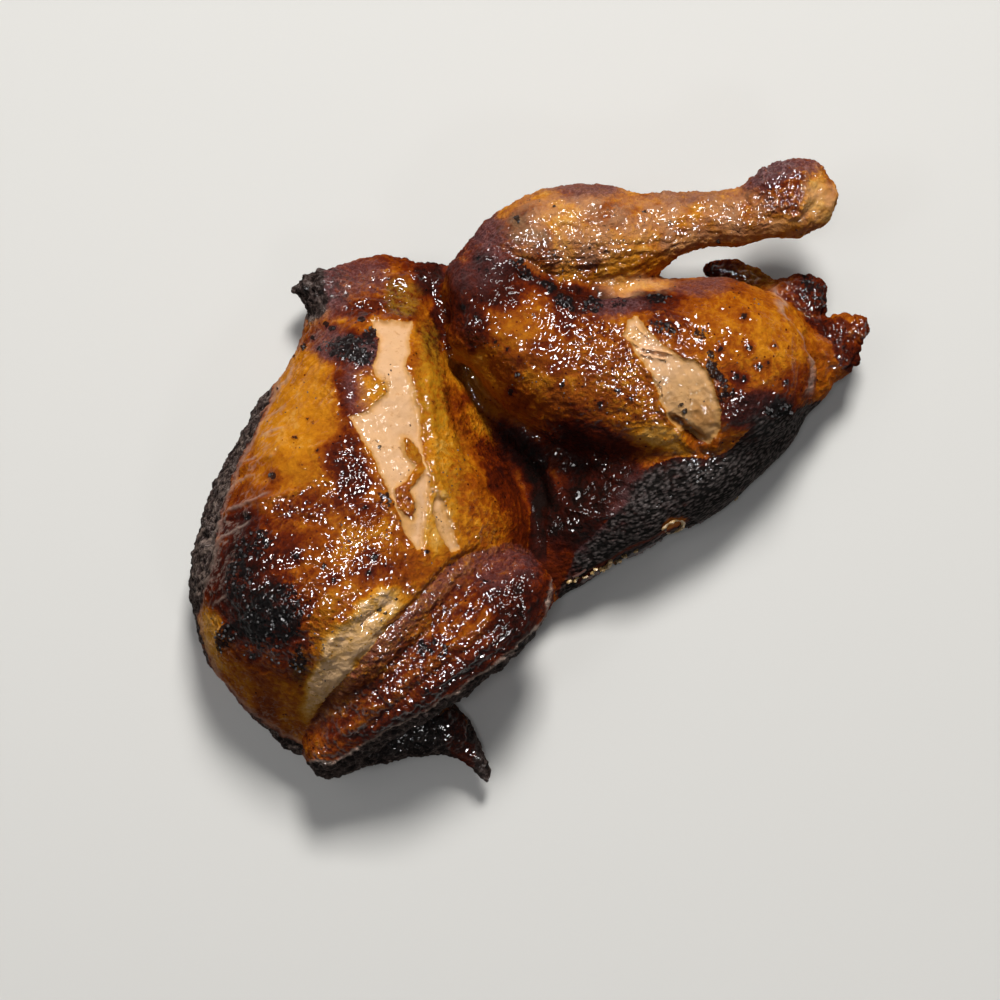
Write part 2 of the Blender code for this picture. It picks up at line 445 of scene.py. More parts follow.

# %% [markdown]
# ## How dark the skin roasted, with some painted shade and light
#
# One number says how far a place has browned: 0 is pale, 0.35 golden, 0.7 mahogany and 1 nearly
# black. Every part starts from one value, and strokes and bands darken and lighten it. A few of
# them paint shade or light into the field, in the hollows and on shaded slopes.

# %% Browning of the breast, with one mark of painted light
BASE_BROWNING = {"breast": 0.48, "flap": 0.66, "wing": 0.68, "wing_tip": 0.78, "thigh": 0.50,
                 "drumstick": 0.42, "knuckle": 0.46, "back": 0.90, "tail": 0.75, "vent": 0.62}
BREAST_BROWNING_AND_PAINTED_LIGHT = [
    (0.34, -64, 13, 9, 19, -15, 0.9), (0.27, -66, 9, 4, 6, 0, 0.6), (0.36, -61, 29, 6, 6, -20, 0.8),
    (0.74, -50.5, 21, 2.8, 8, 8, 0.9), (0.42, -71, -1, 8, 4, 30, 0.8), (0.62, -76, -7, 9, 3, 20, 0.8),
    (0.88, -79, -15, 7, 4, 15, 0.9), (1, -77, -24, 8, 6, 15, 0.9), (0.66, -69, -14, 6, 4, 15, 0.8),
    (0.64, -60, -11, 8, 4, 10, 0.8), (0.77, -68, -23, 8, 5, 20, 0.85), (0.63, -58, -20, 7, 4, 20, 0.7),
    (0.86, -84, -31, 6, 9, 0, 0.9), (1, -72, -41, 11, 11, 20, 0.95), (0.62, -72, -56, 9, 8, -35, 0.9),
    (0.42, -67, -63, 8, 5, -30, 0.8), (0.42, -80, -58, 3, 8, 38, 0.8), (0.22, -87, -46, 3, 9, 15, 0.9),
    (0.46, -63, -69, 5, 4, -20, 0.7), (0.8, -62, -54, 3, 6, 0, 0.7), (0.66, -62, -40, 4, 9, -10, 0.8),
    (0.62, -57, -30, 7, 4, 25, 0.8), (0.42, -57, -40, 3, 8, -15, 0.7),
    # The first mark below is the lower end of the pale patch beside the wing. It is made palest, as
    # painted light against the shade on that slope.
    (0, -55.5, -58, 4.5, 11, -26, 0.95), (0.05, -50, -49, 6, 7, -40, 0.95),
    (0.05, -43, -39, 8, 4, 38, 0.95), (0.42, -48, -21, 5, 6, -10, 0.7), (0.68, -43, -26, 8, 6, 0, 0.8),
    (0.64, -36, -27, 5, 4, 0, 0.7), (0.5, -38, -20, 4, 5, 0, 0.6), (0.78, -51, 5, 4.5, 7, -15, 0.9),
    (0.84, -48, -4, 4, 7, -20, 0.85), (0.7, -46, -12, 6, 4, 0, 0.8), (0.74, -27, 34, 3, 7, 5, 0.8),
    (0.37, -27, 20, 3.5, 9, 5, 0.9), (0.32, -25, 3, 4, 12, -8, 0.9), (0.2, -25, -14, 4, 9, -15, 0.8),
    (0.36, -17, -17, 6, 4, 0, 0.85), (0.62, -17, 11, 3, 14, 30, 0.85), (0.54, -14, -8, 5, 5, 20, 0.8),
    (0.82, -8, -1, 3.5, 9, 25, 0.85), (0.72, -4, -13, 4, 8, 15, 0.9), (0.54, -10, -15, 4, 4, 0, 0.7),
    (0.66, 0, -19, 5, 4, 0, 0.8), (0.92, -24, 44, 2.5, 10, 0, 0.9), (0.84, -20, 31, 2.2, 12, 8, 0.85),
    (0.36, -43.5, 21, 4, 6, 0, 0.9), (0.84, -49, 33, 9, 5.5, -12, 0.95), (0.62, -57, 36, 5, 4, 0, 0.8),
    (0.64, -73, -66, 4, 4, 0, 0.8), (0.04, -47, -48, 8, 5, 42, 0.95), (0.02, -54, -56, 6, 4.5, 50, 0.95),
    (0.1, -39, -38, 6, 3, 35, 0.8),
]
FLAP_BROWNING = [
    (0.76, -56, 49, 7, 6, 0, 0.9), (0.66, -38, 54, 8, 3.5, 5, 0.8), (0.6, -47, 51, 5, 4, 0, 0.8),
    (0.5, -38, 54, 3, 1.5, 0, 0.8), (0.72, -35, 46, 6, 6, 0, 0.9), (0.36, -55, 42, 6, 2.2, 12, 0.8),
    (0.92, -27, 53, 4, 6, 0, 0.9), (0.74, -46, 44.5, 7, 2.6, 12, 0.9),
]
browning = sum(BASE_BROWNING[name] * (belongs == number) for number, name in enumerate(PARTS))
strokes(browning, BREAST_BROWNING_AND_PAINTED_LIGHT, part("breast"))
strokes(browning, FLAP_BROWNING, part("breast", "flap"))
print("browning from", browning.min().round(2), "to", browning.max().round(2))

# %% Browning of the leg, with painted light and shade in places
LEG_BROWNING_AND_PAINTED_LIGHT = [
    (0.86, -14, 55, 9, 8, 20, 0.95), (0.8, -18, 45, 5, 8, 0, 0.85), (0.86, -8, 50, 7, 5, -25, 0.85),
    # The mark at x -11, y 27 is made pale as painted light on a slope that lies in shade.
    (0.82, -14, 38, 4, 7, 10, 0.85), (0.28, -11, 27, 5, 7, 0, 0.9), (0.46, -3, 36, 7, 6.5, 0, 0.95),
    (0.6, -4, 26, 9, 5, -35, 0.8), (0.4, -10, 20, 6, 3, -35, 0.8), (0.42, 6, 23, 8, 5, -20, 0.8),
    (0.66, 6, 31, 6, 4, -30, 0.8), (0.78, 14, 40, 9, 5, -25, 0.9), (0.57, 19, 34, 10, 6, -50, 0.9),
    (0.46, 26, 25, 8, 5, -50, 0.7), (0.44, 30, 17, 7, 5, -40, 0.8), (0.22, 36, 9, 9, 3.2, -22, 0.9),
    (0.6, 13, 15, 9, 3.5, -35, 0.85), (0.8, 18, 8, 12, 4, -20, 0.9), (0.8, 25, 46, 9, 3, 0, 0.85),
    (0.78, 36, 45, 7, 3, 0, 0.8), (0.68, 39, 39, 6, 4, -10, 0.8), (0.6, 50, 50, 9, 3.5, 5, 0.8),
    (0.47, 56, 42, 10, 7, 0, 0.9), (0.41, 68, 37, 7, 9, 0, 0.9), (0.5, 61, 28, 6, 5, 0, 0.8),
    (0.66, 74, 23, 4.5, 6, 0, 0.85), (0.68, 56, 22, 4, 6, 0, 0.8), (0.9, 61, 17, 8, 5, 20, 0.9),
    (0.94, 67, 15, 7, 3.5, 10, 0.9),
]
# The hollow between breast, thigh and back is partly dark browning and partly painted shade in the deep
# crease. Its two pale marks at the upper end are painted light against the shade there.
HOLLOW_BROWNING_AND_PAINTED_SHADE = [
    (0.32, -17, 25, 4, 9, 35, 0.9), (0.38, -13, 14, 4, 7, 35, 0.9), (0.86, -3, 5, 4, 11, 38, 0.95),
    (0.83, 12, 4, 10, 6, -25, 0.95), (0.95, 19, -6, 10, 7, -20, 0.95), (0.97, 12, -14, 9, 9, 0, 0.9),
    (1, 3, -6, 4, 12, 15, 0.95), (0.74, 8, -28, 6, 6, 0, 0.9), (0.74, 25, -10, 4, 2.5, -20, 0.8),
    (0.9, 27, -2.5, 8, 4.5, -15, 0.9),
]
DRUMSTICK_BROWNING = [
    (0.76, -13, 65, 6, 9, 30, 0.9), (0.56, 0, 71, 5, 3, 0, 0.9), (0.74, -3, 65, 5, 5, 0, 0.9),
    (0.32, 9, 69, 4, 6, 0, 0.9), (0.78, 2.5, 63, 4, 3, 0, 0.8), (0.66, 16, 77, 9, 3, 0, 0.85),
    (0.62, 21, 70, 6, 4, -10, 0.9), (0.7, 4, 59, 5, 4, -20, 0.9), (0.4, 12, 62, 4, 3, 0, 0.7),
    (0.62, 16, 56, 4, 3, 0, 0.8), (0.34, 27, 59, 7, 5, 15, 0.9), (0.5, 31, 71, 6, 4, 0, 0.7),
    (0.42, 44, 71, 10, 3.5, 5, 0.8), (0.54, 56, 71, 5, 3, 0, 0.8), (0.5, 48, 65.5, 15, 2.5, 3, 0.8),
    (0.66, 68, 81, 9, 5, 20, 0.95), (0.62, 71, 76, 6, 5, 30, 0.8), (0.36, 70, 67, 7, 3, 10, 0.9),
    (0.24, 79.5, 73, 4, 7.5, 12, 0.95), (0.6, 80, 65, 3, 2, 40, 0.8),
]
strokes(browning, LEG_BROWNING_AND_PAINTED_LIGHT, part("thigh"))
strokes(browning, HOLLOW_BROWNING_AND_PAINTED_SHADE, part("thigh", "back", "breast") * step(plan[:, 2], 48, 38))
strokes(browning, DRUMSTICK_BROWNING, part("drumstick", "knuckle") * step(facing_up, -0.5, 0.0))
print("browning from", browning.min().round(2), "to", browning.max().round(2))

# %% Browning of the wing, the tail and the edges, with painted shade in the crease under the drumstick
WING_BANDS = [
    (0.46, 6, [(-60, -68), (-50, -58), (-40, -48), (-30, -38), (-20, -28), (-8, -22)]),
    (0.56, 2.6, [(-56, -76), (-46, -69), (-32, -57), (-18, -46), (-10, -39)]),
    (0.6, 1.6, [(-48, -63), (-38, -54), (-24, -42), (-14, -33)]),
    (0.84, 4.5, [(-44, -74), (-30, -65), (-16, -55), (-4, -44), (2, -36)]),
]
WING_BROWNING = [
    (0.52, -59, -77, 3.5, 4.5, 0, 0.85), (0.84, 0, -32, 5, 8, 0, 0.9), (0.84, -8, -36, 4, 5, 0, 0.8),
    (0.74, -27, -50, 5, 3, 40, 0.6), (0.68, -9, -27, 7, 4, 20, 0.7), (0.9, -4, -43, 6, 6, 40, 0.9),
    (0.44, -30, -44.5, 5, 2.5, 41, 0.8), (0.5, -20, -44, 4, 2.5, 41, 0.8),
    (0.44, -42, -54, 4, 2.5, 41, 0.8), (0.46, -52, -66, 4, 2.5, 41, 0.8),
]
VENT_BROWNING = [
    (0.62, 52, 56, 5, 4, 0, 0.95), (0.48, 62, 53, 6, 3, -20, 0.9), (0.6, 70, 48, 4, 5, 0, 0.9),
    (0.8, 77.5, 48.5, 5, 7, 35, 0.95),
]
SEAM_BROWNING = [
    (0.3, 25, 53, 6, 2.6, 0, 0.95), (0.22, 32, 50.6, 6, 1.6, 5, 0.9), (0.34, 11, 54.5, 4, 2.5, -25, 0.9),
]
# The wide band is the thigh's dark upper edge. The narrow one is painted shade in the crease under the
# drumstick.
SEAM_EDGE_AND_CREASE_SHADE_BANDS = [
    (0.86, 4.5, [(-18, 58), (-8, 56.5), (2, 51.5), (10, 46.5), (20, 45.5), (29, 46), (38, 47.5)]),
    (0.86, 1.5, [(4, 53), (10, 50), (18, 48.6), (28, 48.4), (37, 49)]),
]
TAIL_BROWNING = [
    (0.84, 78, 38, 4, 6, 0, 0.8), (0.52, 88, 40, 5, 2, 20, 0.7), (0.78, 85, 30, 4, 4, 0, 0.7),
]
LOWER_EDGE = [(12, -31), (20, -27), (28, -23), (36, -19), (43, -15.5)]  # of the back

bands(browning, WING_BANDS, part("wing"))
strokes(browning, WING_BROWNING, part("wing"))
strokes(browning, VENT_BROWNING, part("vent"))
strokes(browning, SEAM_BROWNING, part("drumstick", "thigh"))
bands(browning, SEAM_EDGE_AND_CREASE_SHADE_BANDS, part("drumstick", "thigh"))
browning += 0.09 * part("wing") * noise(turned(plan, WING_TURN, 6), 2.6, 31)
browning += 0.13 * part("drumstick", "knuckle", "tail") * noise(plan, 4.5, 32)
strokes(browning, TAIL_BROWNING, part("tail"))
bands(browning, [(0.70, 2.4, LOWER_EDGE)], part("back"))
strokes(browning, [(0.40, 40, -15, 5, 2.4, 18, 0.9)], part("back"))
print("browning from", browning.min().round(2), "to", browning.max().round(2))

# %% [markdown]
# Beside the browning there are tints: olive where fat pooled under thin skin, plum where the skin
# dried dark over bone or along an edge, flesh where it is thin enough to show the meat below. The
# plum's pale threads are a painted sheen.

# %% Tints beside the browning
OLIVE = [
    (0.8, -35, 47, 5, 5, 0, 1), (0.9, -27, 22, 4, 18, 5, 1), (0.7, -23, -2, 5, 13, -6, 1),
    (0.8, -41, 22.5, 2.6, 2.4, 0, 1), (0.5, -25, -14, 5, 8, 0, 1), (0.5, -62, -55, 3, 5, 0, 1),
    (0.7, -33, 5, 2.6, 5, 20, 1), (0.6, 62, 53, 5, 3, -20, 1),
]
PLUM = [
    (1, -59, 49, 9, 8, 0, 1), (0.6, -47, 53, 8, 4, 0, 1), (0.3, -15, 56, 8, 7, 20, 1),
    (0.7, -12, 66, 5, 9, 25, 1), (1, 66, 82.5, 9, 4, 20, 1), (0.8, 76, 84.5, 5, 2.5, -20, 1),
    (0.6, -55, 34, 5, 5, 0, 1), (0.7, -44, 32, 3, 5, 0, 1), (0.8, 51, 56, 5, 4, 0, 1),
    (0.6, 47, 50, 8, 3, 5, 1), (0.15, 60, 17, 9, 6, 0, 1), (0.6, 25, 45, 7, 3, 0, 1),
    (0.7, 16, 78, 22, 3, 0, 1), (0.6, 42, 76, 14, 2.5, 0, 1), (0.5, -48, 22, 3, 8, 8, 1),
]
# Along the wing's upper edge the plum tint carries a painted sheen.
PLUM_EDGE_AND_SHEEN = [(0.6, 6, [(-60, -67), (-50, -57), (-40, -47), (-30, -37), (-20, -27), (-8, -22)])]
FLESH = [
    (0.8, 12, 67, 18, 11, 0, 1), (0.8, 46, 69, 20, 9, 4, 1), (0.9, 79.5, 73, 4.5, 8, 12, 1),
    (0.7, 71, 66, 7, 3, 10, 1), (0.5, -57, 43, 7, 2, 15, 1), (1, 30, 50.8, 9, 2.6, 2, 1),
]
top_side = part("breast", "flap", "thigh", "drumstick", "knuckle", blend=0.3)
olive = strokes(blank(), OLIVE, part("breast", "flap", "vent"))
plum = strokes(blank(), PLUM, top_side)
bands(plum, PLUM_EDGE_AND_SHEEN, part("wing"))
strokes(plum, [(0.45, -6, -27, 9, 6, 20, 1.0), (0.0, -2, -36, 6, 8, 0, 1.0)], part("wing"))
bands(plum, [(0.7, 5, [(10, -26), (17, -18), (25, -11), (30, -4)])], part("back", "thigh"))
plum *= step(facing_up + 0.3 * noise(plan, 6, 39), -0.35, 0.15)
flesh = strokes(blank(), FLESH, part("drumstick", "knuckle", "flap", "thigh"))
for name, tint in (("olive", olive), ("plum", plum), ("flesh", flesh)):
    print(f"{name}: {np.mean(tint > 0.3):.0%} of the skin")

# %% [markdown]
# ## Torn skin
#
# Over the breast and the thigh the skin pulled apart and shows the pale meat. A tear is a closed
# outline, and each point keeps how deep inside it lies. That one number sinks the meat below the
# skin, curls the skin's edge up, and later switches the colour along a sharp line. Shreds of skin
# that still cross a tear are outlines too, which take that depth away again. The meat has tones of
# its own, which take the place of the browning there; its darkest tone is painted shade in two
# pockets of the thigh's meat.

# %% Outlines of the tears
BREAST_TEAR = [
    (-43.6, 41), (-32.3, 40.5), (-32.5, 33), (-33.5, 28.5), (-31.8, 23), (-30.6, 18), (-29.8, 11),
    (-28.9, 4), (-27.5, -2), (-27.3, -9), (-28.5, -15), (-28.8, -22), (-31, -22), (-34, -17.5),
    (-36.7, -11), (-38.7, -6.4), (-40.2, -2.5), (-42.1, 1.4), (-43.6, 5), (-46, 8), (-48, 11.3),
    (-49.8, 14.8), (-44.6, 16), (-42.6, 18.5), (-39.5, 21), (-39.4, 24), (-42.1, 26), (-43.6, 29),
    (-41.8, 33), (-41.6, 36),
]
SECOND_TEAR = [(-25.5, -6), (-23, -9), (-21, -15), (-19, -22), (-21.5, -23), (-25, -17), (-26.5, -11)]
THIGH_TEAR = [
    (27.2, 40.8), (29.5, 41.8), (32.6, 37.7), (37.2, 33.8), (40.5, 31.8), (42.6, 30.2), (45.7, 30),
    (48.8, 27.7), (51, 23), (52.2, 18.4), (52.6, 13), (51.8, 9.2), (49.5, 6.6), (46.2, 6.9), (42.6, 9.4),
    (38.8, 13), (36.8, 17), (35.3, 21.5), (33.4, 26), (31, 30), (28, 34), (26, 36.8),
]
SHREDS = [
    [(-30, 2), (-28.6, 0), (-31.5, -3.5), (-33.2, -6), (-31.4, -9), (-32, -13.5), (-34.5, -12),
     (-36.8, -9.5), (-36.5, -5.5), (-33.8, -3)],
    [(-34.5, 9), (-32.5, 8.5), (-29.6, 4), (-29.2, 1), (-31.5, 1.2), (-33.5, 4)],
]
TEARS = ((BREAST_TEAR, "breast"), (SECOND_TEAR, "breast"), (THIGH_TEAR, "thigh"))
print(len(TEARS), "tears, with", len(SHREDS), "shreds across them")

# %% Bare meat
DEEPEST = 4  # mm inside or outside a tear's outline
torn = shake(seen, ((7, 0.45), (2.8, 0.5), (1.2, 0.22)), 33)
bare = blank(-20.0)
for outline, where in TEARS:
    here = (belongs == PARTS.index(where)) & (facing_up > 0)
    bare = np.where(here, np.maximum(bare, depth_in(outline, torn)), bare)
for outline in SHREDS:
    bare = np.minimum(bare, -depth_in(outline, torn))
bare = np.clip(bare, -DEEPEST, DEEPEST)
is_bare = step(bare, -0.2, 0.4)

# Tone 1 is painted shade in two pockets of the thigh's meat.
MEAT_TONES_AND_POCKET_SHADE = [  # 0 is pale, 0.75 golden and 1 a dark hollow
    (0.35, 45, 17, 9, 13, 20, 1), (0, 31, 36, 6, 6, 0, 1), (0.12, 38, 28, 5, 4, 0, 0.8),
    (0.66, 48, 14, 4, 4, 0, 0.7), (0.72, 45, 8, 5, 3, -30, 0.9), (1, 44.4, 9, 3, 1.2, -30, 1),
    (1, 40.4, 12.7, 2.4, 0.8, -24, 1), (0.5, -34, -13, 3, 8, -15, 0.9), (0.38, -22, -14, 3, 8, -15, 0.9),
    (0.3, -31, 28, 2, 12, 0, 0.9), (0.5, 28, 36, 2, 4, -50, 0.8),
]
meat_tone_and_shade = strokes(blank(0.12), MEAT_TONES_AND_POCKET_SHADE)
browning = browning * (1 - is_bare) + meat_tone_and_shade * is_bare
print("bare meat:", f"{np.mean(bare > 0):.1%}", "of the skin")

# %% [markdown]
# ## Charred places, and the dry skin of the edges
#
# Char comes in two ways: fields that fade into dark skin, and single burnt spots with a clear edge.
# The skin of the edges hung down, out of the fat, and dried to a dark crumpled net with a pale rim.
# Thin pale folds run in from it over the breast.

# %% Char
CHAR_FIELDS = [
    (0.9, -71, -42, 9, 8, 20, 1), (0.7, -76, -21, 6, 4, 15, 1), (0.7, -80, -31, 4, 6, 0, 1),
    (0.7, -66, -35, 4, 5, 0, 0.8), (0.8, -63, -52, 2.5, 3.5, 0, 1), (0.8, -82.5, -46, 3, 4, 0, 1),
    (0.9, -49, 32.5, 6.5, 4.5, -12, 1), (0.7, -43.5, 36, 3, 4, 0, 1), (0.6, -40.5, -9, 3, 2, 0, 1),
    (0.4, -9, 61, 4, 3, -40, 1), (0.9, -2, 54.5, 4.5, 2, -35, 1), (0.8, 5, 50.5, 3, 1.8, -40, 1),
    (0.8, 9.5, 45, 3, 2, -30, 1), (0.8, 18, 45, 3, 1.8, 0, 1), (0.6, 24.5, 46, 3, 2, 0, 1),
    (0.8, 35, 46.6, 3, 1.4, 0, 1), (0.7, 38, 38, 4, 1.8, -20, 1), (0.8, 46.8, 36.8, 2.2, 2, 0, 1),
    (1, 51.5, 28, 1.5, 4.5, 25, 1), (0.8, 54, 22, 2, 3, 0, 0.9), (0.9, 68.5, 15.5, 4.5, 2, 0, 1),
    (0.3, -15, 57, 6, 4, 20, 1), (0.35, 52, 56, 4, 3, 0, 1), (0.6, 77.5, 48.5, 3.5, 6, 35, 1),
    (0.6, -28, -49, 4, 2.5, 40, 1), (0.5, -22, -50, 4, 2, 40, 1),
]
SPOTS = [  # x, y and radius of single burnt spots
    (-70.6, -1.8, 1.5), (-61.8, 33.6, 1.5), (-55.5, 40, 1.3), (-54, 38.8, 1.2), (-46, 40.7, 1.5),
    (-59, 36, 0.8), (-57, 33, 0.9), (-64.5, 31, 0.5), (-77.8, -13, 0.8), (-64, -24, 1.4),
    (-56.2, -26.5, 1), (-53.7, -30.4, 1.4), (-42.8, -24, 1), (-43.7, -28.4, 0.8), (-64, 8.5, 0.6),
    (-61, 14, 0.5), (-58, 5, 0.7), (-41, 6.1, 0.8), (-32.5, 12.7, 0.5), (-38, 29, 0.4), (-28.2, -22.8, 1),
    (-36.1, -35.8, 0.8), (-41, -38.5, 1.2), (-39.6, -39.8, 0.9), (-49, -47, 0.8), (-76, -51, 1.2),
    (-18.1, 44.9, 1.3), (-14.2, 41.5, 0.9), (-8.8, 35.1, 1), (-6, 33, 0.7), (-3.1, 26.5, 0.6),
    (9.1, 23.3, 1.4), (-5.1, 21.4, 1.2), (19.5, 17.9, 1.4), (24, 22, 1.1), (28, 19.5, 1), (42, 17.6, 1),
    (42.9, 15.6, 1.3), (36.2, 24.3, 0.6), (58.8, 42.2, 1.1), (60.3, 33.4, 1.3), (67.6, 33.8, 1),
    (63.2, 28.2, 1.1), (65.7, 29.3, 0.8), (57, 25.6, 1.2), (59.2, 24.8, 1.1), (52.5, 33, 0.8),
    (70.4, 24, 0.8), (-3.3, 69, 1.4), (7, 72, 0.6), (21, 60, 0.9), (16.6, 60.8, 0.8), (32, 71, 0.7),
    (52, 62.5, 0.7), (-29.7, -47.6, 1.2), (-28.2, -60.1, 1), (-12, -31, 1), (73, 62.5, 0.6),
    (-69, 22, 0.4), (-45, -10, 0.8), (-33, -8, 0.5),
]
char = strokes(blank(), CHAR_FIELDS) * step(facing_up, -0.4, 0.0)
char *= 1 - is_bare
spot = blank()
halo = blank()
ragged = shake(barely_shaken, ((1.3, 0.55),), 22)
for x, y, radius in SPOTS:
    away = np.hypot(ragged[:, 0] - x, ragged[:, 1] - y)
    spot = np.maximum(spot, step(away, 0.9 * radius, 0.35 * radius))
    halo = np.maximum(halo, step(away, 2.0 * radius, 0.8 * radius))
spot *= facing_up > 0
browning += 0.12 * halo * (1 - is_bare) * (facing_up > 0)
clumps = step(char + 0.3 * noise(plan, 2.6, 24), 0.3, 0.8)
print("charred:", f"{np.mean(np.maximum(clumps, spot) > 0.5):.1%}", "of the skin")

# %% Dry edges
LEFT_EDGE = [
    (-63.5, 47), (-63, 40), (-65, 34), (-68.5, 27), (-71.5, 19), (-75, 11), (-79.5, 3), (-83, -7),
    (-85.5, -15), (-86.5, -24), (-89.5, -33), (-91, -40), (-89.5, -48), (-85, -58), (-77.5, -66.5),
    (-70, -71.5), (-62, -76),
]
WING_EDGE = [
    (2, -22.5), (6, -28), (6, -34), (4, -41), (-1, -46), (-6, -50.5), (-12, -55.5), (-19, -60.5),
    (-28, -66), (-37, -71), (-47, -76.5), (-54, -80.5), (-61, -80),
]
left_depth = depth_in(LEFT_EDGE + [(-62, -110), (-120, -110), (-120, 47)]) + 0.9 * noise(plan, 4, 34)
wing_depth = depth_in(WING_EDGE + [(-61, -110), (8, -110), (8, -22.5)])
low_down = step(plan[:, 2] + 2 * noise(plan, 8, 20), 7, 3)
DRY_PLACES = [(1.0, -60, 49, 6, 8, 0, 1.0), (0.45, -52, 50, 5, 5, 0, 1.0)]
hollow = line([(-26, 44), (-20, 28), (-10, 13), (0, 0), (5, -14), (8, -34)], 14)  # it stays moist
not_steep = step(facing_up + 0.3 * noise(plan, 5, 40), -0.3, 0.0)
dry = np.maximum.reduce([
    step(left_depth, -0.4, 0.8) * part("breast", "flap") * not_steep,
    step(wing_depth, -0.4, 0.6),
    strokes(blank(), DRY_PLACES, part("flap", "breast")),
    part("wing_tip"),
    low_down * (1 - part("drumstick", "knuckle", "vent", "tail")),
]) * (1 - step(hollow, 0.05, 0.4))
strokes(dry, [(0.3, -19, -74, 4, 10, 25, 0.9)])
# Skin that faces down is made darker.
browning += 0.3 * step(facing_up, 0.1, -0.4) * (1 - is_bare)
browning += 0.4 * step(left_depth, -1, 1) * part("breast", "flap")
print("dry:", f"{np.mean(dry > 0.5):.0%}", "of the skin")

# %% Pale folds and rims
CREASES = [  # thin pale folds that run in from the dry edge
    [(-93, -23), (-88, -19.5), (-83.5, -13)], [(-90, -24), (-80.5, -16.5), (-76, -13.5)],
    [(-86, -8), (-80, -3.5), (-75, -1)], [(-75, 8), (-71, 10.5), (-66, 12)], [(-73, 14), (-66, 18)],
    [(-71, 20), (-66, 25), (-64, 30)], [(-84, -12), (-77, -9), (-70, -6)], [(-92, -33), (-85, -29)],
    [(-80, 1), (-73, 4.5)], [(-87, -38), (-82, -33.5)],
]
TAIL_RIM = [(66, 51.5), (71.5, 42), (74, 37), (77.3, 31), (78.2, 26), (76, 19)]
creased = np.max([line(way, 0.6) for way in CREASES], axis=0)
threads = step(np.abs(noise(turned(plan, 32, 4), 3.0, 35)), 0.09, 0.02) * step(left_depth, -11, -1)
creased = np.maximum(creased, 0.8 * threads * part("breast")) * step(facing_up, 0, 0.3)
rim = np.maximum.reduce([
    0.5 * np.exp(-(((left_depth + 0.6) / 0.5) ** 2)) * part("breast"),
    np.exp(-((wing_depth / 0.36) ** 2)) * part("wing"),
    0.6 * creased,
    0.6 * line(TAIL_RIM, 1.2, shaken),
])
print("pale rims:", f"{np.mean(rim > 0.3):.1%}", "of the skin")

# %% [markdown]
# ## Where the skin is wrinkled and where it is smooth
#
# Smooth tight skin shows one soft shine, wrinkled skin a swarm of small sharp ones. So wrinkling gets
# a field of its own, which sets how high the fine folds stand.

# %% Wrinkling
BASE_WRINKLING = {"breast": 0.55, "flap": 0.7, "wing": 0.9, "wing_tip": 0.7, "thigh": 0.55,
                  "drumstick": 0.8, "knuckle": 0.9, "back": 0.3, "tail": 0.9, "vent": 0.9}
WRINKLING = [
    (0.25, -65, 12, 9, 16, -15, 0.9), (0.2, -70, 0, 8, 6, 30, 0.8), (0.3, -77, -9, 9, 4, 20, 0.8),
    (1, -49, 32, 8, 5, -10, 1), (0.8, -53, 21, 5, 3, 35, 0.8), (1.1, -49.5, 1, 5, 8, -15, 1),
    (0.9, -56, -4, 5, 4, 0, 0.7), (1, -60, -11, 12, 5, 10, 0.8), (1.1, -49, -20, 5, 8, -20, 0.9),
    (0.9, -40, -17, 4, 9, -20, 0.8), (0.95, -70, -40, 14, 12, 20, 0.9), (0.9, -76, -22, 10, 7, 10, 0.8),
    (1, -43, 49, 8, 4, 0, 1), (0.9, -46, -38, 8, 2.5, 38, 0.9), (0.2, -50, -51, 8, 4, 55, 0.9),
    (1, -43, 45, 7, 2.5, 0, 0.9), (0.3, -27, 18, 3, 16, 5, 0.9), (0.8, -24, 4, 3, 8, -10, 0.9),
    (0.8, -25, -11, 3, 5, -10, 0.8), (1.1, -12, 8, 4, 11, 35, 0.95), (0.9, -12, -14, 7, 6, 0, 0.8),
    (0.8, -25, 36, 3, 7, 0, 0.8), (0.15, -4, 36, 7, 6, 0, 0.9), (0.4, -11, 26, 8, 10, 10, 0.8),
    (1.2, 20, 33, 15, 8, -52, 1), (0.9, 6, 44, 8, 4, -25, 0.8), (1, 29, 16, 8, 5, -45, 0.8),
    (0.4, 36, 8, 10, 3, -20, 0.8), (1.1, 38, 39, 7, 4, -20, 0.9), (0.45, 60, 42, 12, 8, 0, 0.8),
    (0.6, 65, 30, 9, 5, 0, 0.7), (0.75, 57, 20, 6, 7, 0, 0.7), (0.9, 6, 12, 5, 2.5, -45, 0.9),
    (0.9, 19, 0, 5, 2, -40, 0.8), (1.1, 6, 58, 8, 4, -15, 0.9), (0.9, 9, 66, 8, 5, 0, 0.8),
    (0.35, 28, 57, 8, 4, 15, 0.8), (0.2, 80, 73, 4, 7, 12, 0.9), (1.3, 70, 78, 7, 6, 30, 1),
    (0.3, 70, 66, 7, 3, 10, 0.9), (0.35, 52, 65, 14, 2.5, 3, 0.8), (1.2, -32, -56, 16, 4, 41, 0.8),
    (1.2, -9, -30, 6, 5, 20, 0.8), (0.45, -55, -72, 4, 4, 0, 0.7),
]
wrinkling = sum(BASE_WRINKLING[name] * (belongs == number) for number, name in enumerate(PARTS))
strokes(wrinkling, WRINKLING)
wrinkling *= 1 - is_bare
wet_meat = strokes(blank(), [(1.0, -46.5, 10.5, 2.2, 5, 32, 1.0)]) * is_bare
wet_meat = strokes(wet_meat, [(1.0, 31, 36, 6, 5, -50, 1.0), (1.0, 34.5, 27, 3, 6, 20, 1.0)], is_bare)
print("mean wrinkling", wrinkling.mean().round(2), "with", f"{np.mean(wet_meat > 0.3):.1%}", "wet meat")
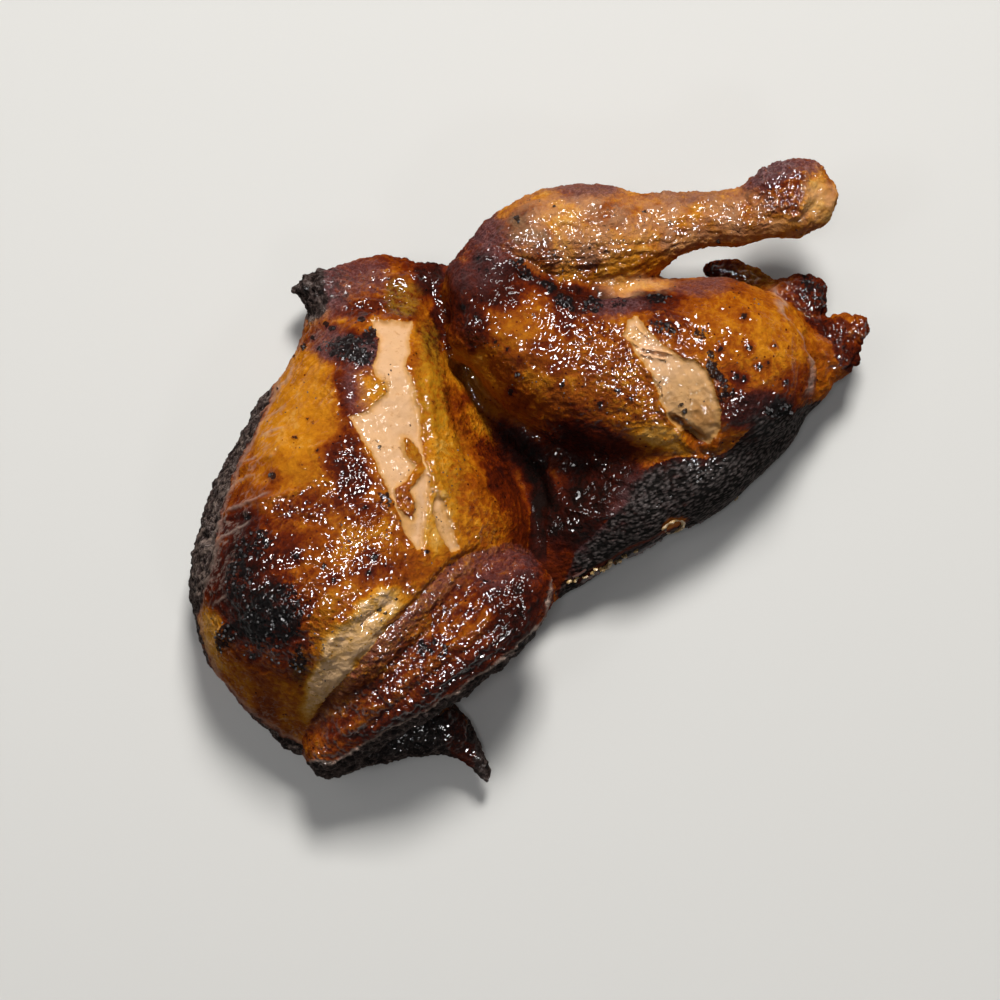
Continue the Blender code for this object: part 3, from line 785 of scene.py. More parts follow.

# %% [markdown]
# ## Pushing the relief into the mesh
#
# Now the marks become shape. Big swells and the listed folds come first, along the old
# outward direction, then wrinkles, then the edges of the tears, then pimples and crust. In each round
# the outward direction is measured again, because a wrinkle on a swell must stand out from the swell.

# %% Folds placed one by one
FOLDS = [  # height and width in mm, and the places the fold runs through
    (0.7, 1.3, [(-66, 32), (-70, 25), (-74, 17)]),
    (0.6, 1.1, [(-68, 31), (-72, 24), (-76, 12), (-79, 6)]),
    (0.6, 1.2, [(-81, -2), (-77, 1), (-72, 3), (-66, 9)]),
    (0.7, 1.2, [(-85, -13), (-78, -9), (-70, -8), (-62, -5)]),
    (0.6, 1.2, [(-90, -18), (-82, -13), (-75, -11)]),
    (0.5, 1.1, [(-91, -25), (-86, -20), (-81, -18)]),
    (0.5, 1.1, [(-91, -33), (-87, -29), (-83, -27)]),
    (-0.6, 2.2, [(-84, -15), (-75, -12), (-62, -13), (-52, -18)]),
    (0.5, 2.2, [(-66, -22), (-58, -20), (-50, -27)]),
    (-0.5, 2, [(-70, -28), (-60, -26), (-50, -32)]),
    (-0.9, 1.6, [(-52, 43), (-47, 45), (-40, 43)]),
    (0.7, 1.2, [(-50, 46.3), (-45, 46.6), (-39, 45)]),
    (0.9, 2.6, [(-30, 38), (-28, 25), (-27, 12), (-26, 0), (-23, -10)]),
    (-0.7, 2, [(-24, 40), (-22, 25), (-20, 12), (-15, 0)]),
    (0.8, 2.2, [(-20, 26), (-17, 18), (-12, 8), (-6, -2)]),
    (-1.2, 2.4, [(-24, 57), (-23, 46), (-22, 38)]),
    (1.3, 3.2, [(-57, -53), (-52, -43), (-44, -36), (-36, -30)]),
    (-0.7, 2.2, [(-48, -44), (-41, -39), (-35, -35)]),
    (-1.2, 2.4, [(-59, -71), (-54, -62), (-45, -51), (-33, -39), (-22, -27), (-12, -21)]),
    (-1.4, 3, [(-23, 36), (-20, 27), (-13, 17), (-4, 9), (2, -1), (5, -12)]),
    (0.5, 2.4, [(-13, 60), (-3, 55), (5, 50), (12, 46.5), (22, 45.5), (36, 46.5)]),
    (-1, 2.4, [(-10, 62), (0, 57), (8, 52)]),
    (-1.6, 1.6, [(6, 52), (12, 49.6), (20, 48.6), (30, 48.8)]),
    (1.3, 1, [(26, 35.5), (31, 33.2), (36, 32.3), (41, 31)]),
    (1.1, 0.8, [(27, 33.3), (33, 31.2), (39, 30)]),
    (-1, 0.8, [(27, 34.5), (32, 32.3), (39, 31)]),
    (1, 0.9, [(28, 41), (30, 38), (34, 35)]),
    (0.9, 0.8, [(30, 29), (33, 27), (36, 23), (37.5, 18)]),
    (-1.8, 1.3, [(37.5, 14.2), (41, 12.6), (44, 11.2)]),
    (-2.8, 2.8, [(41.5, 10.5), (45, 8.6), (48.5, 5.8)]),
    (1, 1.2, [(49, 4.5), (51.5, 7), (52.2, 10)]),
    (0.8, 1, [(39, 11.5), (42.5, 7.5), (47, 4.2)]),
    (0.7, 1.6, [(2, 16), (6.5, 11.5), (11, 7)]),
    (0.7, 1.1, [(16, 3), (22, -2), (31, -5)]),
    (0.6, 1.2, [(8, -10), (18, -13), (27, -12)]),
    (0.9, 2, [(-22.5, 40), (-19.5, 30), (-11.5, 20), (-3, 15)]),
    (0.8, 2.6, [(-56, -76), (-46, -69), (-32, -57), (-18, -46), (-6, -36)]),
    (-0.6, 1.8, [(-50, -75), (-36, -64), (-22, -53), (-8, -43)]),
    (0.6, 2.2, [(-44, -73), (-30, -63), (-16, -52), (-2, -42)]),
    (-0.5, 1.6, [(-53, -66), (-40, -55), (-26, -43), (-14, -32)]),
    (0.9, 1.3, [(75, 33), (78.5, 29), (78.5, 23), (76, 16)]),
    (-1.2, 2, [(70, 45), (76, 37), (80, 28), (80, 20)]),
    (1.2, 1.6, [(81, 42), (87, 42), (91.5, 40.5), (91, 37), (89, 33), (87, 28.5)]),
    (-1.8, 2.6, [(79, 38.5), (84, 37), (87, 33.5)]),
    (0.9, 1.8, [(79, 34), (83, 30), (86, 27.5)]),
    (0.9, 1.2, [(77, 84), (76, 80), (76.5, 75), (74, 70), (70, 68)]),
    (-0.9, 2.4, [(79, 80), (79.5, 74), (77, 69)]),
    (0.8, 1.2, [(78, 82.5), (81.5, 79), (83.6, 75.5), (82, 69), (78, 65)]),
    (0.8, 1.8, [(62, 84), (66, 80), (66, 75), (62, 71)]),
    (-0.7, 1.6, [(58, 76), (61, 72), (60, 67)]),
]
folded = blank()
for height, width, way in FOLDS:
    folded += height * line(way, width)
folded *= step(facing_up, -0.2, 0.3)
print(len(FOLDS), "folds, from", folded.min().round(1), "to", folded.max().round(1), "mm")

# %% Swells
CUT = step(plan[:, 2], 0.8, 0.2) * step(facing_up, -0.5, -0.9)  # the flat side it lies on


def push(amount):
    """Moves every point outward by its amount in mm and keeps the cut side flat."""
    moved = places(skin) + outward(skin) * (amount * (1 - CUT))[:, None] * MM
    moved[:, 2] = np.maximum(moved[:, 2], 0)
    skin.vertices.foreach_set("co", moved.astype(np.float32).ravel())
    skin.update()
    print(f"pushed by {amount.min():.1f} to {amount.max():.1f} mm")


lower_back = step(facing_up, 0.7, 0.2) * oval(31, -19, 16, 8, 25)
push(0.8 * noise(plan, 20, 5) + 0.4 * noise(plan, 9, 6) + folded - 2.2 * lower_back)

# %% Wrinkles and torn edges
SKIN_TURN = 28  # degrees: the way wrinkles run over breast, thigh and back
wing_run = turned(plan, WING_TURN, 5)
shank_run = turned(plan, 4, 6)
wrinkles = (
    0.45 * part("wing") * noise(wing_run, 3.2, 7)
    + 0.35 * part("wing") * noise(turned(plan, WING_TURN, 2.5), 1.8, 8)
    + 0.4 * part("drumstick", "knuckle") * noise(shank_run, 2.4, 10)
    + 0.35 * part("drumstick", "knuckle") * noise(plan, 3.5, 17)
    + 0.35 * part("breast", "thigh", "flap") * noise(turned(plan, SKIN_TURN, 1.6), 3.2, 11)
    + 0.9 * part("tail", "vent", "flap") * noise(plan, 4.0, 18)
    + 0.5 * part("flap") * noise(plan, 1.8, 38)
    + 0.8 * part("tail", "vent") * (domes(plan, 2.2, 30) - 0.4)
    + dry * (1.0 * noise(plan, 4.0, 9) + 0.3 * noise(plan, 1.9, 25)) * (1 - part("back"))
    + 0.25 * creased
)
push(wrinkles)

lip = np.exp(-(((bare + 0.8) / 0.6) ** 2)) * (0.5 + 0.5 * noise(plan, 7, 12))
push(-0.7 * step(bare, -0.3, 0.9) + 0.4 * lip + 0.35 * is_bare * noise(turned(plan, -62, 3), 2.2, 28))

# %% Pimples, crust and leather
worms = folds(plan, 2.3, 13)
cells = domes(turned(plan, SKIN_TURN, 1.6), 0.85, 14)
net = folds(plan, 2.4, 19, 2.0, 0.2)
pimpled = domes(plan, 1.5, 15)
crumbly = np.abs(noise(plan, 1.3, 16))
back_depth = depth_in(BACK_OUTLINE, shaken)
back_depth += 3.0 * noise(turned(plan, SKIN_TURN, 2), 4, 26) + noise(plan, 1.6, 37)
leather = part("back", "thigh", blend=0.3) * step(back_depth, -4, 3.5)
bands(leather, [(0.2, 2.2, LOWER_EDGE)])
strokes(leather, [(0.0, 40, -15, 4, 1.8, 18, 1.0)])
squiggles = 0.34 * worms * wrinkling * (1 - leather) * (1 - dry)
pebbles = 0.36 * leather * cells
pimples = 0.30 * (pimpled - 0.4) * (0.25 + 0.75 * wrinkling) * (1 - is_bare) * (1 - leather)
crust = clumps * (0.5 * crumbly + 0.6 * domes(plan, 1.8, 36))
bumps = 0.25 * spot
netted = 0.35 * dry * net * (1 - leather)
glints = 0.35 * wet_meat * domes(plan, 1.1, 21)
push(squiggles + pebbles + pimples + crust + bumps + netted + glints)

# %% [markdown]
# Two more fields come out of the finished relief. One says how high a point stands in its own small
# pattern, so that furrows can be painted darker and ridges lighter, as painted shade and painted
# highlight. The other is the shine, a coat of fat that is strong on wrinkled skin that looks up and
# weak where the skin is dry, charred or in a fold.

# %% Relief and shine
soft_skin = (1 - leather) * (1 - dry) * wrinkling
relief = np.clip(
    0.5 + 0.5 * (leather * (cells - 0.5) * 2 + dry * (1 - leather) * (net - 0.45) * 2.2)
    + soft_skin * (0.3 * (pimpled - 0.45) + 0.5 * (worms - 0.35)), 0, 1
)
groove = line([(-10, 12), (0, 0), (5, -14), (8, -34)], 12)
shade = line([(-6, 6), (1, -3), (5, -14)], 5)
dulled = (1 - 0.8 * dry) * (1 - 0.75 * leather) * (1 - 0.3 * plum)
shine = (0.5 + 0.5 * wrinkling) * step(facing_up, 0.6, 0.85) * dulled
MATTE = [
    (0, 22, -5, 17, 8, -20, 0.9), (0.2, -2, -38, 7, 8, 0, 0.8), (0.2, 59, 16, 9, 6, 0, 0.7),
    (0.2, -63, -38, 7, 8, 0, 0.8), (0.1, -9, 50, 8, 6, 0, 0.9), (0.2, -44, -14, 4, 4, 0, 0.8),
    (0.3, -78, -16, 8, 5, 15, 0.8), (0.3, -8, 38, 12, 4, 0, 0.8), (0.2, -5, -42, 6, 6, 0, 0.8),
    (0.2, -79, -25, 7, 7, 0, 0.9), (0.3, 30, 22, 3, 3, 0, 0.8), (0.2, 5, -8, 6, 9, 0, 0.9),
    (0, 36, -1, 10, 4, -10, 1), (0.35, -72, -41, 10, 9, 20, 0.8),
]
GLOSSY = [
    (1, -50, 1, 4, 7, -15, 1), (0.8, -50, 33, 7, 4, -12, 0.8), (1, 5, 11, 6, 2, -45, 1),
    (0.9, 20, 2, 6, 1.6, -40, 0.9), (1, 70, 78, 6, 5, 30, 0.9), (1, 17, 34, 8, 4, -50, 0.8),
    (1, -54, 20, 4, 2.5, 35, 1),
]
shine *= (1 - 0.75 * clumps) * (1 - 0.3 * part("drumstick", "knuckle")) * (1 - step(groove, 0.1, 0.6))
strokes(shine, MATTE)
strokes(shine, GLOSSY)
shine *= (1 - 0.35 * part("wing") * plum) * (1 - step(shade, 0.1, 0.6))
shine = shine * (1 - is_bare) + is_bare * (0.18 + 0.7 * wet_meat)
print("mean relief", relief.mean().round(2), "and mean shine", shine.mean().round(2))

# %% [markdown]
# ## A short way to write materials
#
# A material is a tree of nodes. To keep the arithmetic readable, one small class wraps a node's
# output, so that Python's own signs add Math nodes. Every other node comes from one method.

# %% Numbers that can be calculated with
class Number:
    """A number that varies over the surface."""

    def __init__(self, finish, socket):
        self.finish = finish
        self.socket = socket

    def math(self, operation, first, second):
        return self.finish.node("ShaderNodeMath", {"operation": operation}, {0: first, 1: second})

    def __add__(self, other):
        return self.math("ADD", self, other)

    def __radd__(self, other):
        return self.math("ADD", other, self)

    def __sub__(self, other):
        return self.math("SUBTRACT", self, other)

    def __rsub__(self, other):
        return self.math("SUBTRACT", other, self)

    def __mul__(self, other):
        return self.math("MULTIPLY", self, other)

    def __rmul__(self, other):
        return self.math("MULTIPLY", other, self)

    def __abs__(self):
        return self.math("ABSOLUTE", self, 0.0)


# %% Materials and their nodes
PER_METRE = 1000  # millimetres


class Finish:
    """One material and the nodes in it."""

    def __init__(self, name):
        self.material = bpy.data.materials.new(name)
        self.material.use_nodes = True
        self.tree = self.material.node_tree
        self.shader = self.tree.nodes["Principled BSDF"]

    def plug(self, value, socket):
        if isinstance(value, Number):
            self.tree.links.new(value.socket, socket)
        else:
            socket.default_value = value

    def node(self, kind, settings=None, sockets=None, output=0):
        """A node of this type, with its settings made first and then its sockets filled."""
        made = self.tree.nodes.new(kind)
        for name, value in (settings or {}).items():
            if name == "stops":
                while len(made.color_ramp.elements) < len(value):
                    made.color_ramp.elements.new(0.5)
                for element, (place, colour) in zip(made.color_ramp.elements, value):
                    element.position = place
                    element.color = (*colour, 1)
            else:
                setattr(made, name, value)
        for name, value in (sockets or {}).items():
            self.plug(value, made.inputs[name])
        return Number(self, made.outputs[output])

    def attribute(self, name):
        return self.node("ShaderNodeAttribute", {"attribute_name": name}, output="Fac")

    def place(self, stretch=None, turn=0.0):
        """Object coordinates, turned about the upright axis and then stretched."""
        where = self.node("ShaderNodeTexCoord", output="Object")
        if stretch is None:
            return where
        rotated = self.node(
            "ShaderNodeMapping", {"vector_type": "POINT"}, {"Vector": where, "Rotation": (0, 0, turn)}
        )
        return self.node(
            "ShaderNodeMapping", {"vector_type": "POINT"}, {"Vector": rotated, "Scale": stretch}
        )

    def noise(self, size, detail=2.0, rough=0.5, place=None):
        """Cloudy noise with swells of about size mm, from 0 to 1."""
        sockets = {"Scale": PER_METRE / size, "Detail": detail, "Roughness": rough}
        sockets["Vector"] = place or self.place()
        return self.node("ShaderNodeTexNoise", {}, sockets)

    def dots(self, size, place=None):
        """Distance to the nearest of many scattered points about size mm apart."""
        sockets = {"Scale": PER_METRE / size, "Vector": place or self.place()}
        return self.node("ShaderNodeTexVoronoi", {}, sockets)

    def between(self, value, low, high):
        """0 below low, 1 above high and a smooth rise between."""
        settings = {"interpolation_type": "SMOOTHSTEP"}
        sockets = {"Value": value, "From Min": low, "From Max": high}
        return self.node("ShaderNodeMapRange", settings, sockets)

    def ramp(self, value, stops):
        return self.node("ShaderNodeValToRGB", {"stops": stops}, {0: value})

    def mix(self, amount, first, second):
        """From the first colour to the second by amount."""
        first, second = [(*c, 1) if isinstance(c, tuple) else c for c in (first, second)]
        sockets = {0: amount, 6: first, 7: second}
        return self.node("ShaderNodeMix", {"data_type": "RGBA"}, sockets, output=2)

    def bump(self, height, distance):
        """A direction for the shader, as if the surface stood out by height times distance mm."""
        return self.node("ShaderNodeBump", {}, {"Height": height, "Distance": distance * MM})

    def set(self, **sockets):
        """Fills the shader's sockets. Base_Color means Base Color."""
        for name, value in sockets.items():
            self.plug(value, self.shader.inputs[name.replace("_", " ")])


# %% [markdown]
# ## The finish of roast skin
#
# Browning runs along one ramp of colours, from pale through gold, amber and mahogany to black, and
# the noise is added to the browning and not to the colour. So a dark fleck on golden skin gets the
# colour that browner skin really has. Then the tints, the bare meat, the dry skin and the char are
# laid over it, each with an edge made ragged by the same noise.

# %% Colours of roast skin
BROWNING_RAMP = [
    (0.00, (0.80, 0.50, 0.26)),
    (0.15, (0.66, 0.34, 0.07)),
    (0.32, (0.52, 0.185, 0.006)),
    (0.50, (0.28, 0.062, 0.002)),
    (0.66, (0.12, 0.014, 0.001)),
    (0.82, (0.042, 0.005, 0.002)),
    (1.00, (0.008, 0.003, 0.002)),
]
# Pale to golden meat. The last stop is the painted shade of the pockets.
MEAT_RAMP_WITH_POCKET_SHADE = [
    (0.0, (0.64, 0.385, 0.215)),
    (0.4, (0.59, 0.325, 0.13)),
    (0.75, (0.44, 0.17, 0.030)),
    (1.0, (0.10, 0.030, 0.018)),
]
MEAT_DARK = (0.42, 0.19, 0.05)
MEAT_STAIN = (0.28, 0.13, 0.03)
TORN_GOLD = (0.50, 0.24, 0.055)
OLIVE_GOLD = (0.34, 0.18, 0.010)
PLUM_DARK = (0.060, 0.020, 0.020)
# The pale plum is a painted sheen.
PLUM_PAINTED_SHEEN = (0.26, 0.125, 0.125)
FLESH_TAN = (0.53, 0.28, 0.135)
CHAR_BLACK = (0.006, 0.005, 0.005)
# Tones of the dry net. The relief's share in picking them paints light on ridges and shade in furrows.
DRY_TONES_AND_RELIEF_SHADE = [(0.0, (0.010, 0.006, 0.005)), (0.5, (0.055, 0.036, 0.031)), (1.0, (0.18, 0.14, 0.125))]
# The back's dry skin in painted shade for its furrows, and in painted light for its pebble tops.
LEATHER_IN_PAINTED_SHADE = (0.009, 0.007, 0.006)
LEATHER_IN_PAINTED_LIGHT = (0.115, 0.094, 0.088)
RIM_PALE = (0.42, 0.31, 0.25)
print(len(BROWNING_RAMP), "stops from pale to black")


# %% Roast skin
def roast_skin():
    f = Finish("roast skin")
    clouds = f.noise(6.0, 3.0, 0.6)
    mottle = f.noise(1.6, 3.0, 0.65)
    grain = f.noise(0.5, 1.0)
    brown_and_painted_shade = f.attribute("browning") + (clouds - 0.5) * 0.36 + (mottle - 0.5) * 0.20
    brown_and_painted_shade = brown_and_painted_shade + (grain - 0.5) * 0.06
    freckles = f.between(f.dots(2.4), 0.17, 0.08) * f.between(f.noise(9.0), 0.42, 0.6)
    relief = f.attribute("relief")
    # Furrows of the relief are darkened and its ridges lightened: painted shade and painted highlight.
    brown_and_painted_shade = brown_and_painted_shade + freckles * 0.4 + (0.5 - relief) * 0.28
    colour = f.ramp(brown_and_painted_shade, BROWNING_RAMP)
    colour = f.mix(f.attribute("olive") * f.between(mottle, 0.7, 0.35) * 0.65, colour, OLIVE_GOLD)
    colour = f.mix(f.attribute("flesh") * f.between(clouds, 0.25, 0.65) * 0.7, colour, FLESH_TAN)
    threads = f.between(abs(f.noise(1.2, 2.0) - 0.5), 0.11, 0.0)
    # Plum runs from a dark plum to a pale one along fine threads on high places. The pale is a painted
    # sheen.
    plum = f.mix(threads * relief * 0.9 + 0.14, PLUM_DARK, PLUM_PAINTED_SHEEN)
    colour = f.mix(f.attribute("plum") * f.between(mottle, 0.2, 0.5) * 0.92, colour, plum)

    stain = f.between(f.attribute("olive") + (mottle - 0.5) * 1.2, 0.4, 0.8)
    meat = f.ramp(f.attribute("browning") + (clouds - 0.5) * 0.35, MEAT_RAMP_WITH_POCKET_SHADE)
    meat = f.mix(f.between(mottle, 0.56, 0.7) * 0.45, meat, MEAT_DARK)
    meat = f.mix(stain * 0.8, meat, MEAT_STAIN)
    depth = f.attribute("bare") + (mottle - 0.5) * 0.7
    meat = f.mix(f.between(depth, 1.8, 0.1) * 0.65, meat, TORN_GOLD)
    is_bare = f.between(depth, -0.1, 0.15)
    colour = f.mix(is_bare, colour, meat)

    lines = f.between(abs(f.noise(2.4, 2.0) - 0.5), 0.035, 0.0)
    # The dry net gets paler on its ridges and darker in its furrows from the relief, as painted light and
    # shade. Its pale lines and mottle are the dry skin's own.
    net = f.ramp(relief * 0.6 + lines * 0.45 + (mottle - 0.5) * 0.3, DRY_TONES_AND_RELIEF_SHADE)
    colour = f.mix(f.between(f.attribute("dry") + (mottle - 0.5) * 0.6, 0.35, 0.65), colour, net)
    # The back's dry skin is mixed by relief height: its pebble tops get painted light, its furrows
    # painted shade.
    leather = f.mix(f.between(relief, 0.3, 1.05), LEATHER_IN_PAINTED_SHADE, LEATHER_IN_PAINTED_LIGHT)
    ragged = (mottle - 0.5) * 1.2 + (clouds - 0.5) * 0.8
    colour = f.mix(f.between(f.attribute("leather") + ragged, 0.15, 1.05), colour, leather)
    colour = f.mix(f.attribute("rim") * 0.8, colour, RIM_PALE)
    burnt = f.between(f.attribute("char") + (mottle - 0.5) * 2.2 + (clouds - 0.5) * 1.2, 0.45, 0.75)
    spot = f.between(f.attribute("spot") + (mottle - 0.5) * 0.5, 0.35, 0.6)
    colour = f.mix(burnt * 0.92, colour, CHAR_BLACK)
    colour = f.mix(spot * 0.9, colour, CHAR_BLACK)

    rough = 0.6 + (mottle - 0.5) * 0.3
    crinkle = (f.noise(1.1, 3.0, 0.6) * 0.7 + threads * 0.3) * (f.attribute("wrinkling") * 0.85 + 0.15)
    pebble = (1 - f.dots(0.9, f.place((0.6, 1, 1), -0.49))) * f.attribute("leather")
    dried = lines * f.attribute("dry")
    fine = f.bump(crinkle + pebble * 0.8 + dried * 0.4, 0.55)
    f.set(Base_Color=colour, Roughness=rough, Metallic=0.0, Normal=fine)
    f.set(IOR=1.45, Specular_IOR_Level=0.02)
    f.set(Coat_Weight=f.attribute("shine"), Coat_Roughness=0.08, Coat_IOR=1.4)
    return f.material


SKIN_FINISH = roast_skin()
print("nodes in roast skin:", len(SKIN_FINISH.node_tree.nodes))


# %% Cut meat
CUT_PALE = (0.62, 0.36, 0.18)
CUT_BROWN = (0.40, 0.17, 0.06)
CUT_FIBRE = (0.30, 0.12, 0.04)


def cut_meat():
    f = Finish("cut meat")
    fibres = f.noise(1.2, 3.0, 0.6, f.place((0.25, 1, 1), 0.5))
    clouds = f.noise(14.0, 3.0)
    colour = f.mix(f.between(clouds, 0.35, 0.7), CUT_PALE, CUT_BROWN)
    colour = f.mix(f.between(fibres, 0.5, 0.8), colour, CUT_FIBRE)
    f.set(Base_Color=colour, Roughness=0.5, Metallic=0.0, Normal=f.bump(fibres, 0.25))
    return f.material


CUT_FINISH = cut_meat()
print("nodes in cut meat:", len(CUT_FINISH.node_tree.nodes))

# %% [markdown]
# ## Cutting the skin into pieces
#
# The fine mesh is one closed skin, but a piece of it should stay small enough to hand on. It is
# divided where the parts meet, and the lower end of the breast is cut off it as the shoulder. The
# flat cut side is a piece too. Each piece keeps the whole skin's directions at its edge, so that no
# seam can be seen.

# %% What goes with a piece
FIELDS = {
    "browning": browning, "olive": olive, "plum": plum, "flesh": flesh, "bare": bare, "char": char,
    "spot": spot, "dry": dry, "leather": leather, "rim": rim, "relief": relief,
    "wrinkling": wrinkling, "shine": shine,
}
corners = np.empty(len(skin.loops), np.int32)
skin.loops.foreach_get("vertex_index", corners)
corners = corners.reshape(-1, 4)
positions = places(skin)
directions = outward(skin)
print(len(FIELDS), "fields on", len(corners), "faces")


# %% Making a piece
def deliver(name, data):
    """Makes a mesh one of the pieces that stand for the bird."""
    obj = placed(name, data)
    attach(obj, "root")
    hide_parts(BIRD)
    data.calc_loop_triangles()
    print(f"{name}: {len(data.loop_triangles)} triangles")


def store(data, name, values):
    """Keeps a field on a mesh, one number per point."""
    layer = data.attributes.new(name, "FLOAT", "POINT")
    layer.data.foreach_set("value", values.astype(np.float32))


def skin_piece(name, faces, finish):
    """A piece from some faces of the skin, with its fields and its outward directions."""
    used, renumbered = np.unique(corners[faces], return_inverse=True)
    data = bpy.data.meshes.new(name)
    data.vertices.add(len(used))
    data.vertices.foreach_set("co", positions[used].astype(np.float32).ravel())
    data.loops.add(renumbered.size)
    data.loops.foreach_set("vertex_index", renumbered.astype(np.int32).ravel())
    count = int(np.count_nonzero(faces))
    data.polygons.add(count)
    data.polygons.foreach_set("loop_start", np.arange(0, count * 4, 4, dtype=np.int32))
    data.update()
    data.validate()
    data.shade_smooth()
    data.normals_split_custom_set_from_vertices(directions[used].astype(np.float32))
    for field, values in FIELDS.items():
        store(data, field, values[used])
    data.materials.append(finish)
    deliver(name, data)


# %% Pieces
FLOOR_GAP = 0.05 * MM  # a face this near to the floor belongs to the cut side
SHOULDER = -18  # mm on the plan: the breast below this line is a piece of its own
votes = belongs[corners]
face_part = np.array(PARTS)[np.median(votes, axis=1).astype(int)]
lies_on = np.all(positions[corners][:, :, 2] < FLOOR_GAP, axis=1)
is_shoulder = np.isin(face_part, ("breast", "flap")) & (plan[corners[:, 0], 1] < SHOULDER)
face_part[is_shoulder] = "shoulder"
PIECES = {
    "breast": ("breast", "flap"), "shoulder": ("shoulder",), "wing": ("wing", "wing_tip"),
    "thigh": ("thigh", "vent", "tail"), "drumstick": ("drumstick", "knuckle"), "back": ("back",),
}
for name, of_parts in PIECES.items():
    skin_piece(name, np.isin(face_part, of_parts) & ~lies_on, SKIN_FINISH)
skin_piece("cut_side", lies_on, CUT_FINISH)

# %% [markdown]
# ## Crumbs
#
# Pepper and char also lie on the skin as crumbs. A Geometry Nodes tree drops points on the skin where
# a field is high and grows one small rough crumb on each. One tree makes both, with other numbers.

# %% A tree that grows crumbs
DENT = 0.12 * MM  # how far the corners of a crumb are moved at most


def crumb_tree():
    """A tree that grows crumbs, Density to the square metre where the field named by Where is 1."""
    tree, entry, leave = group_with_geometry("crumbs")
    kinds = {"Where": "String", "Density": "Float", "Smallest": "Float", "Largest": "Float",
             "Seed": "Int", "Finish": "Material"}
    for name, kind in kinds.items():
        tree.interface.new_socket(name, in_out="INPUT", socket_type="NodeSocket" + kind)
    given = entry.outputs
    here = wired(
        tree, "GeometryNodeInputNamedAttribute", {"data_type": "FLOAT"}, {"Name": given["Where"]}
    )
    density = wired(tree, "ShaderNodeMath", {"operation": "MULTIPLY"}, {0: here, 1: given["Density"]})
    points = wired(
        tree, "GeometryNodeDistributePointsOnFaces", {},
        {"Mesh": given["Geometry"], "Density": density, "Seed": given["Seed"]},
    )
    size = wired(
        tree, "FunctionNodeRandomValue", {"data_type": "FLOAT"},
        {2: given["Smallest"], 3: given["Largest"], "Seed": given["Seed"]}, output=1,
    )
    any_way = {0: (0, 0, 0), 1: (2 * math.pi,) * 3}
    turn = wired(tree, "FunctionNodeRandomValue", {"data_type": "FLOAT_VECTOR"}, any_way)
    ball = wired(tree, "GeometryNodeMeshIcoSphere", {}, {"Radius": 1.0, "Subdivisions": 1})
    crumbs = wired(
        tree, "GeometryNodeInstanceOnPoints", {},
        {"Points": points, "Instance": ball, "Rotation": turn, "Scale": size},
    )
    real = wired(tree, "GeometryNodeRealizeInstances", {}, {"Geometry": crumbs})
    dents = {0: (-DENT,) * 3, 1: (DENT,) * 3}
    dent = wired(tree, "FunctionNodeRandomValue", {"data_type": "FLOAT_VECTOR"}, dents)
    rough = wired(tree, "GeometryNodeSetPosition", {}, {"Geometry": real, "Offset": dent})
    done = wired(tree, "GeometryNodeSetMaterial", {}, {"Geometry": rough, "Material": given["Finish"]})
    tree.links.new(done, leave.inputs[0])
    return tree


# %% Pepper and char
def crumb_finish(name, colour, roughness):
    f = Finish(name)
    f.set(Base_Color=(*colour, 1), Roughness=roughness, Metallic=0.0)
    return f.material


def scatter(name, tree, **values):
    """A piece made of all the crumbs that the tree grows on the skin."""
    host = placed(name, skin)
    grown = host.modifiers.new("crumbs", "NODES")
    grown.node_group = tree
    for item in tree.interface.items_tree:
        if item.name in values:
            grown[item.identifier] = values[item.name]
    data = whole_mesh(host)
    bpy.data.objects.remove(host)
    data.name = name
    deliver(name, data)


PEPPERED = [
    (0.5, -60, 5, 16, 30, -10, 1), (1, -46, -20, 14, 10, 0, 1), (1, -50, -50, 8, 14, -30, 1),
    (0.5, -37, 12, 8, 22, 0, 1), (0.8, -24, -6, 8, 16, 0, 1), (0.6, 5, 30, 20, 12, -20, 1),
    (1, 57, 33, 12, 14, 0, 1), (0.6, 44, 20, 8, 10, 0, 1), (0.7, 15, 62, 22, 9, 0, 1),
    (0.5, -25, -50, 25, 8, 42, 1),
]
peppered = strokes(blank(0.1), PEPPERED) * step(facing_up, 0.2, 0.5)
peppered *= step(noise(plan, 9, 27), -0.5, 0.8)
charred = strokes(np.maximum(clumps, spot), [(0.15, -71, -42, 12, 11, 20, 0.9)])
store(skin, "peppered", peppered)
store(skin, "charred", charred)
CRUMBS = crumb_tree()
scatter(
    "pepper", CRUMBS, Where="peppered", Density=150000.0, Smallest=0.07 * MM, Largest=0.30 * MM,
    Seed=3, Finish=crumb_finish("pepper", (0.035, 0.014, 0.006), 0.5),
)
scatter(
    "char_crumbs", CRUMBS, Where="charred", Density=300000.0, Smallest=0.12 * MM,
    Largest=0.55 * MM, Seed=8, Finish=crumb_finish("char", (0.010, 0.006, 0.006), 0.55),
)
bpy.data.meshes.remove(skin)

# %% [markdown]
# Along the lower edge of the back lie a few bits of browned fat and dried shreds of skin. Each is a
# short strand with a thickness, laid on the skin along a row of places and swollen and pinched by
# noise, so that no two look alike.

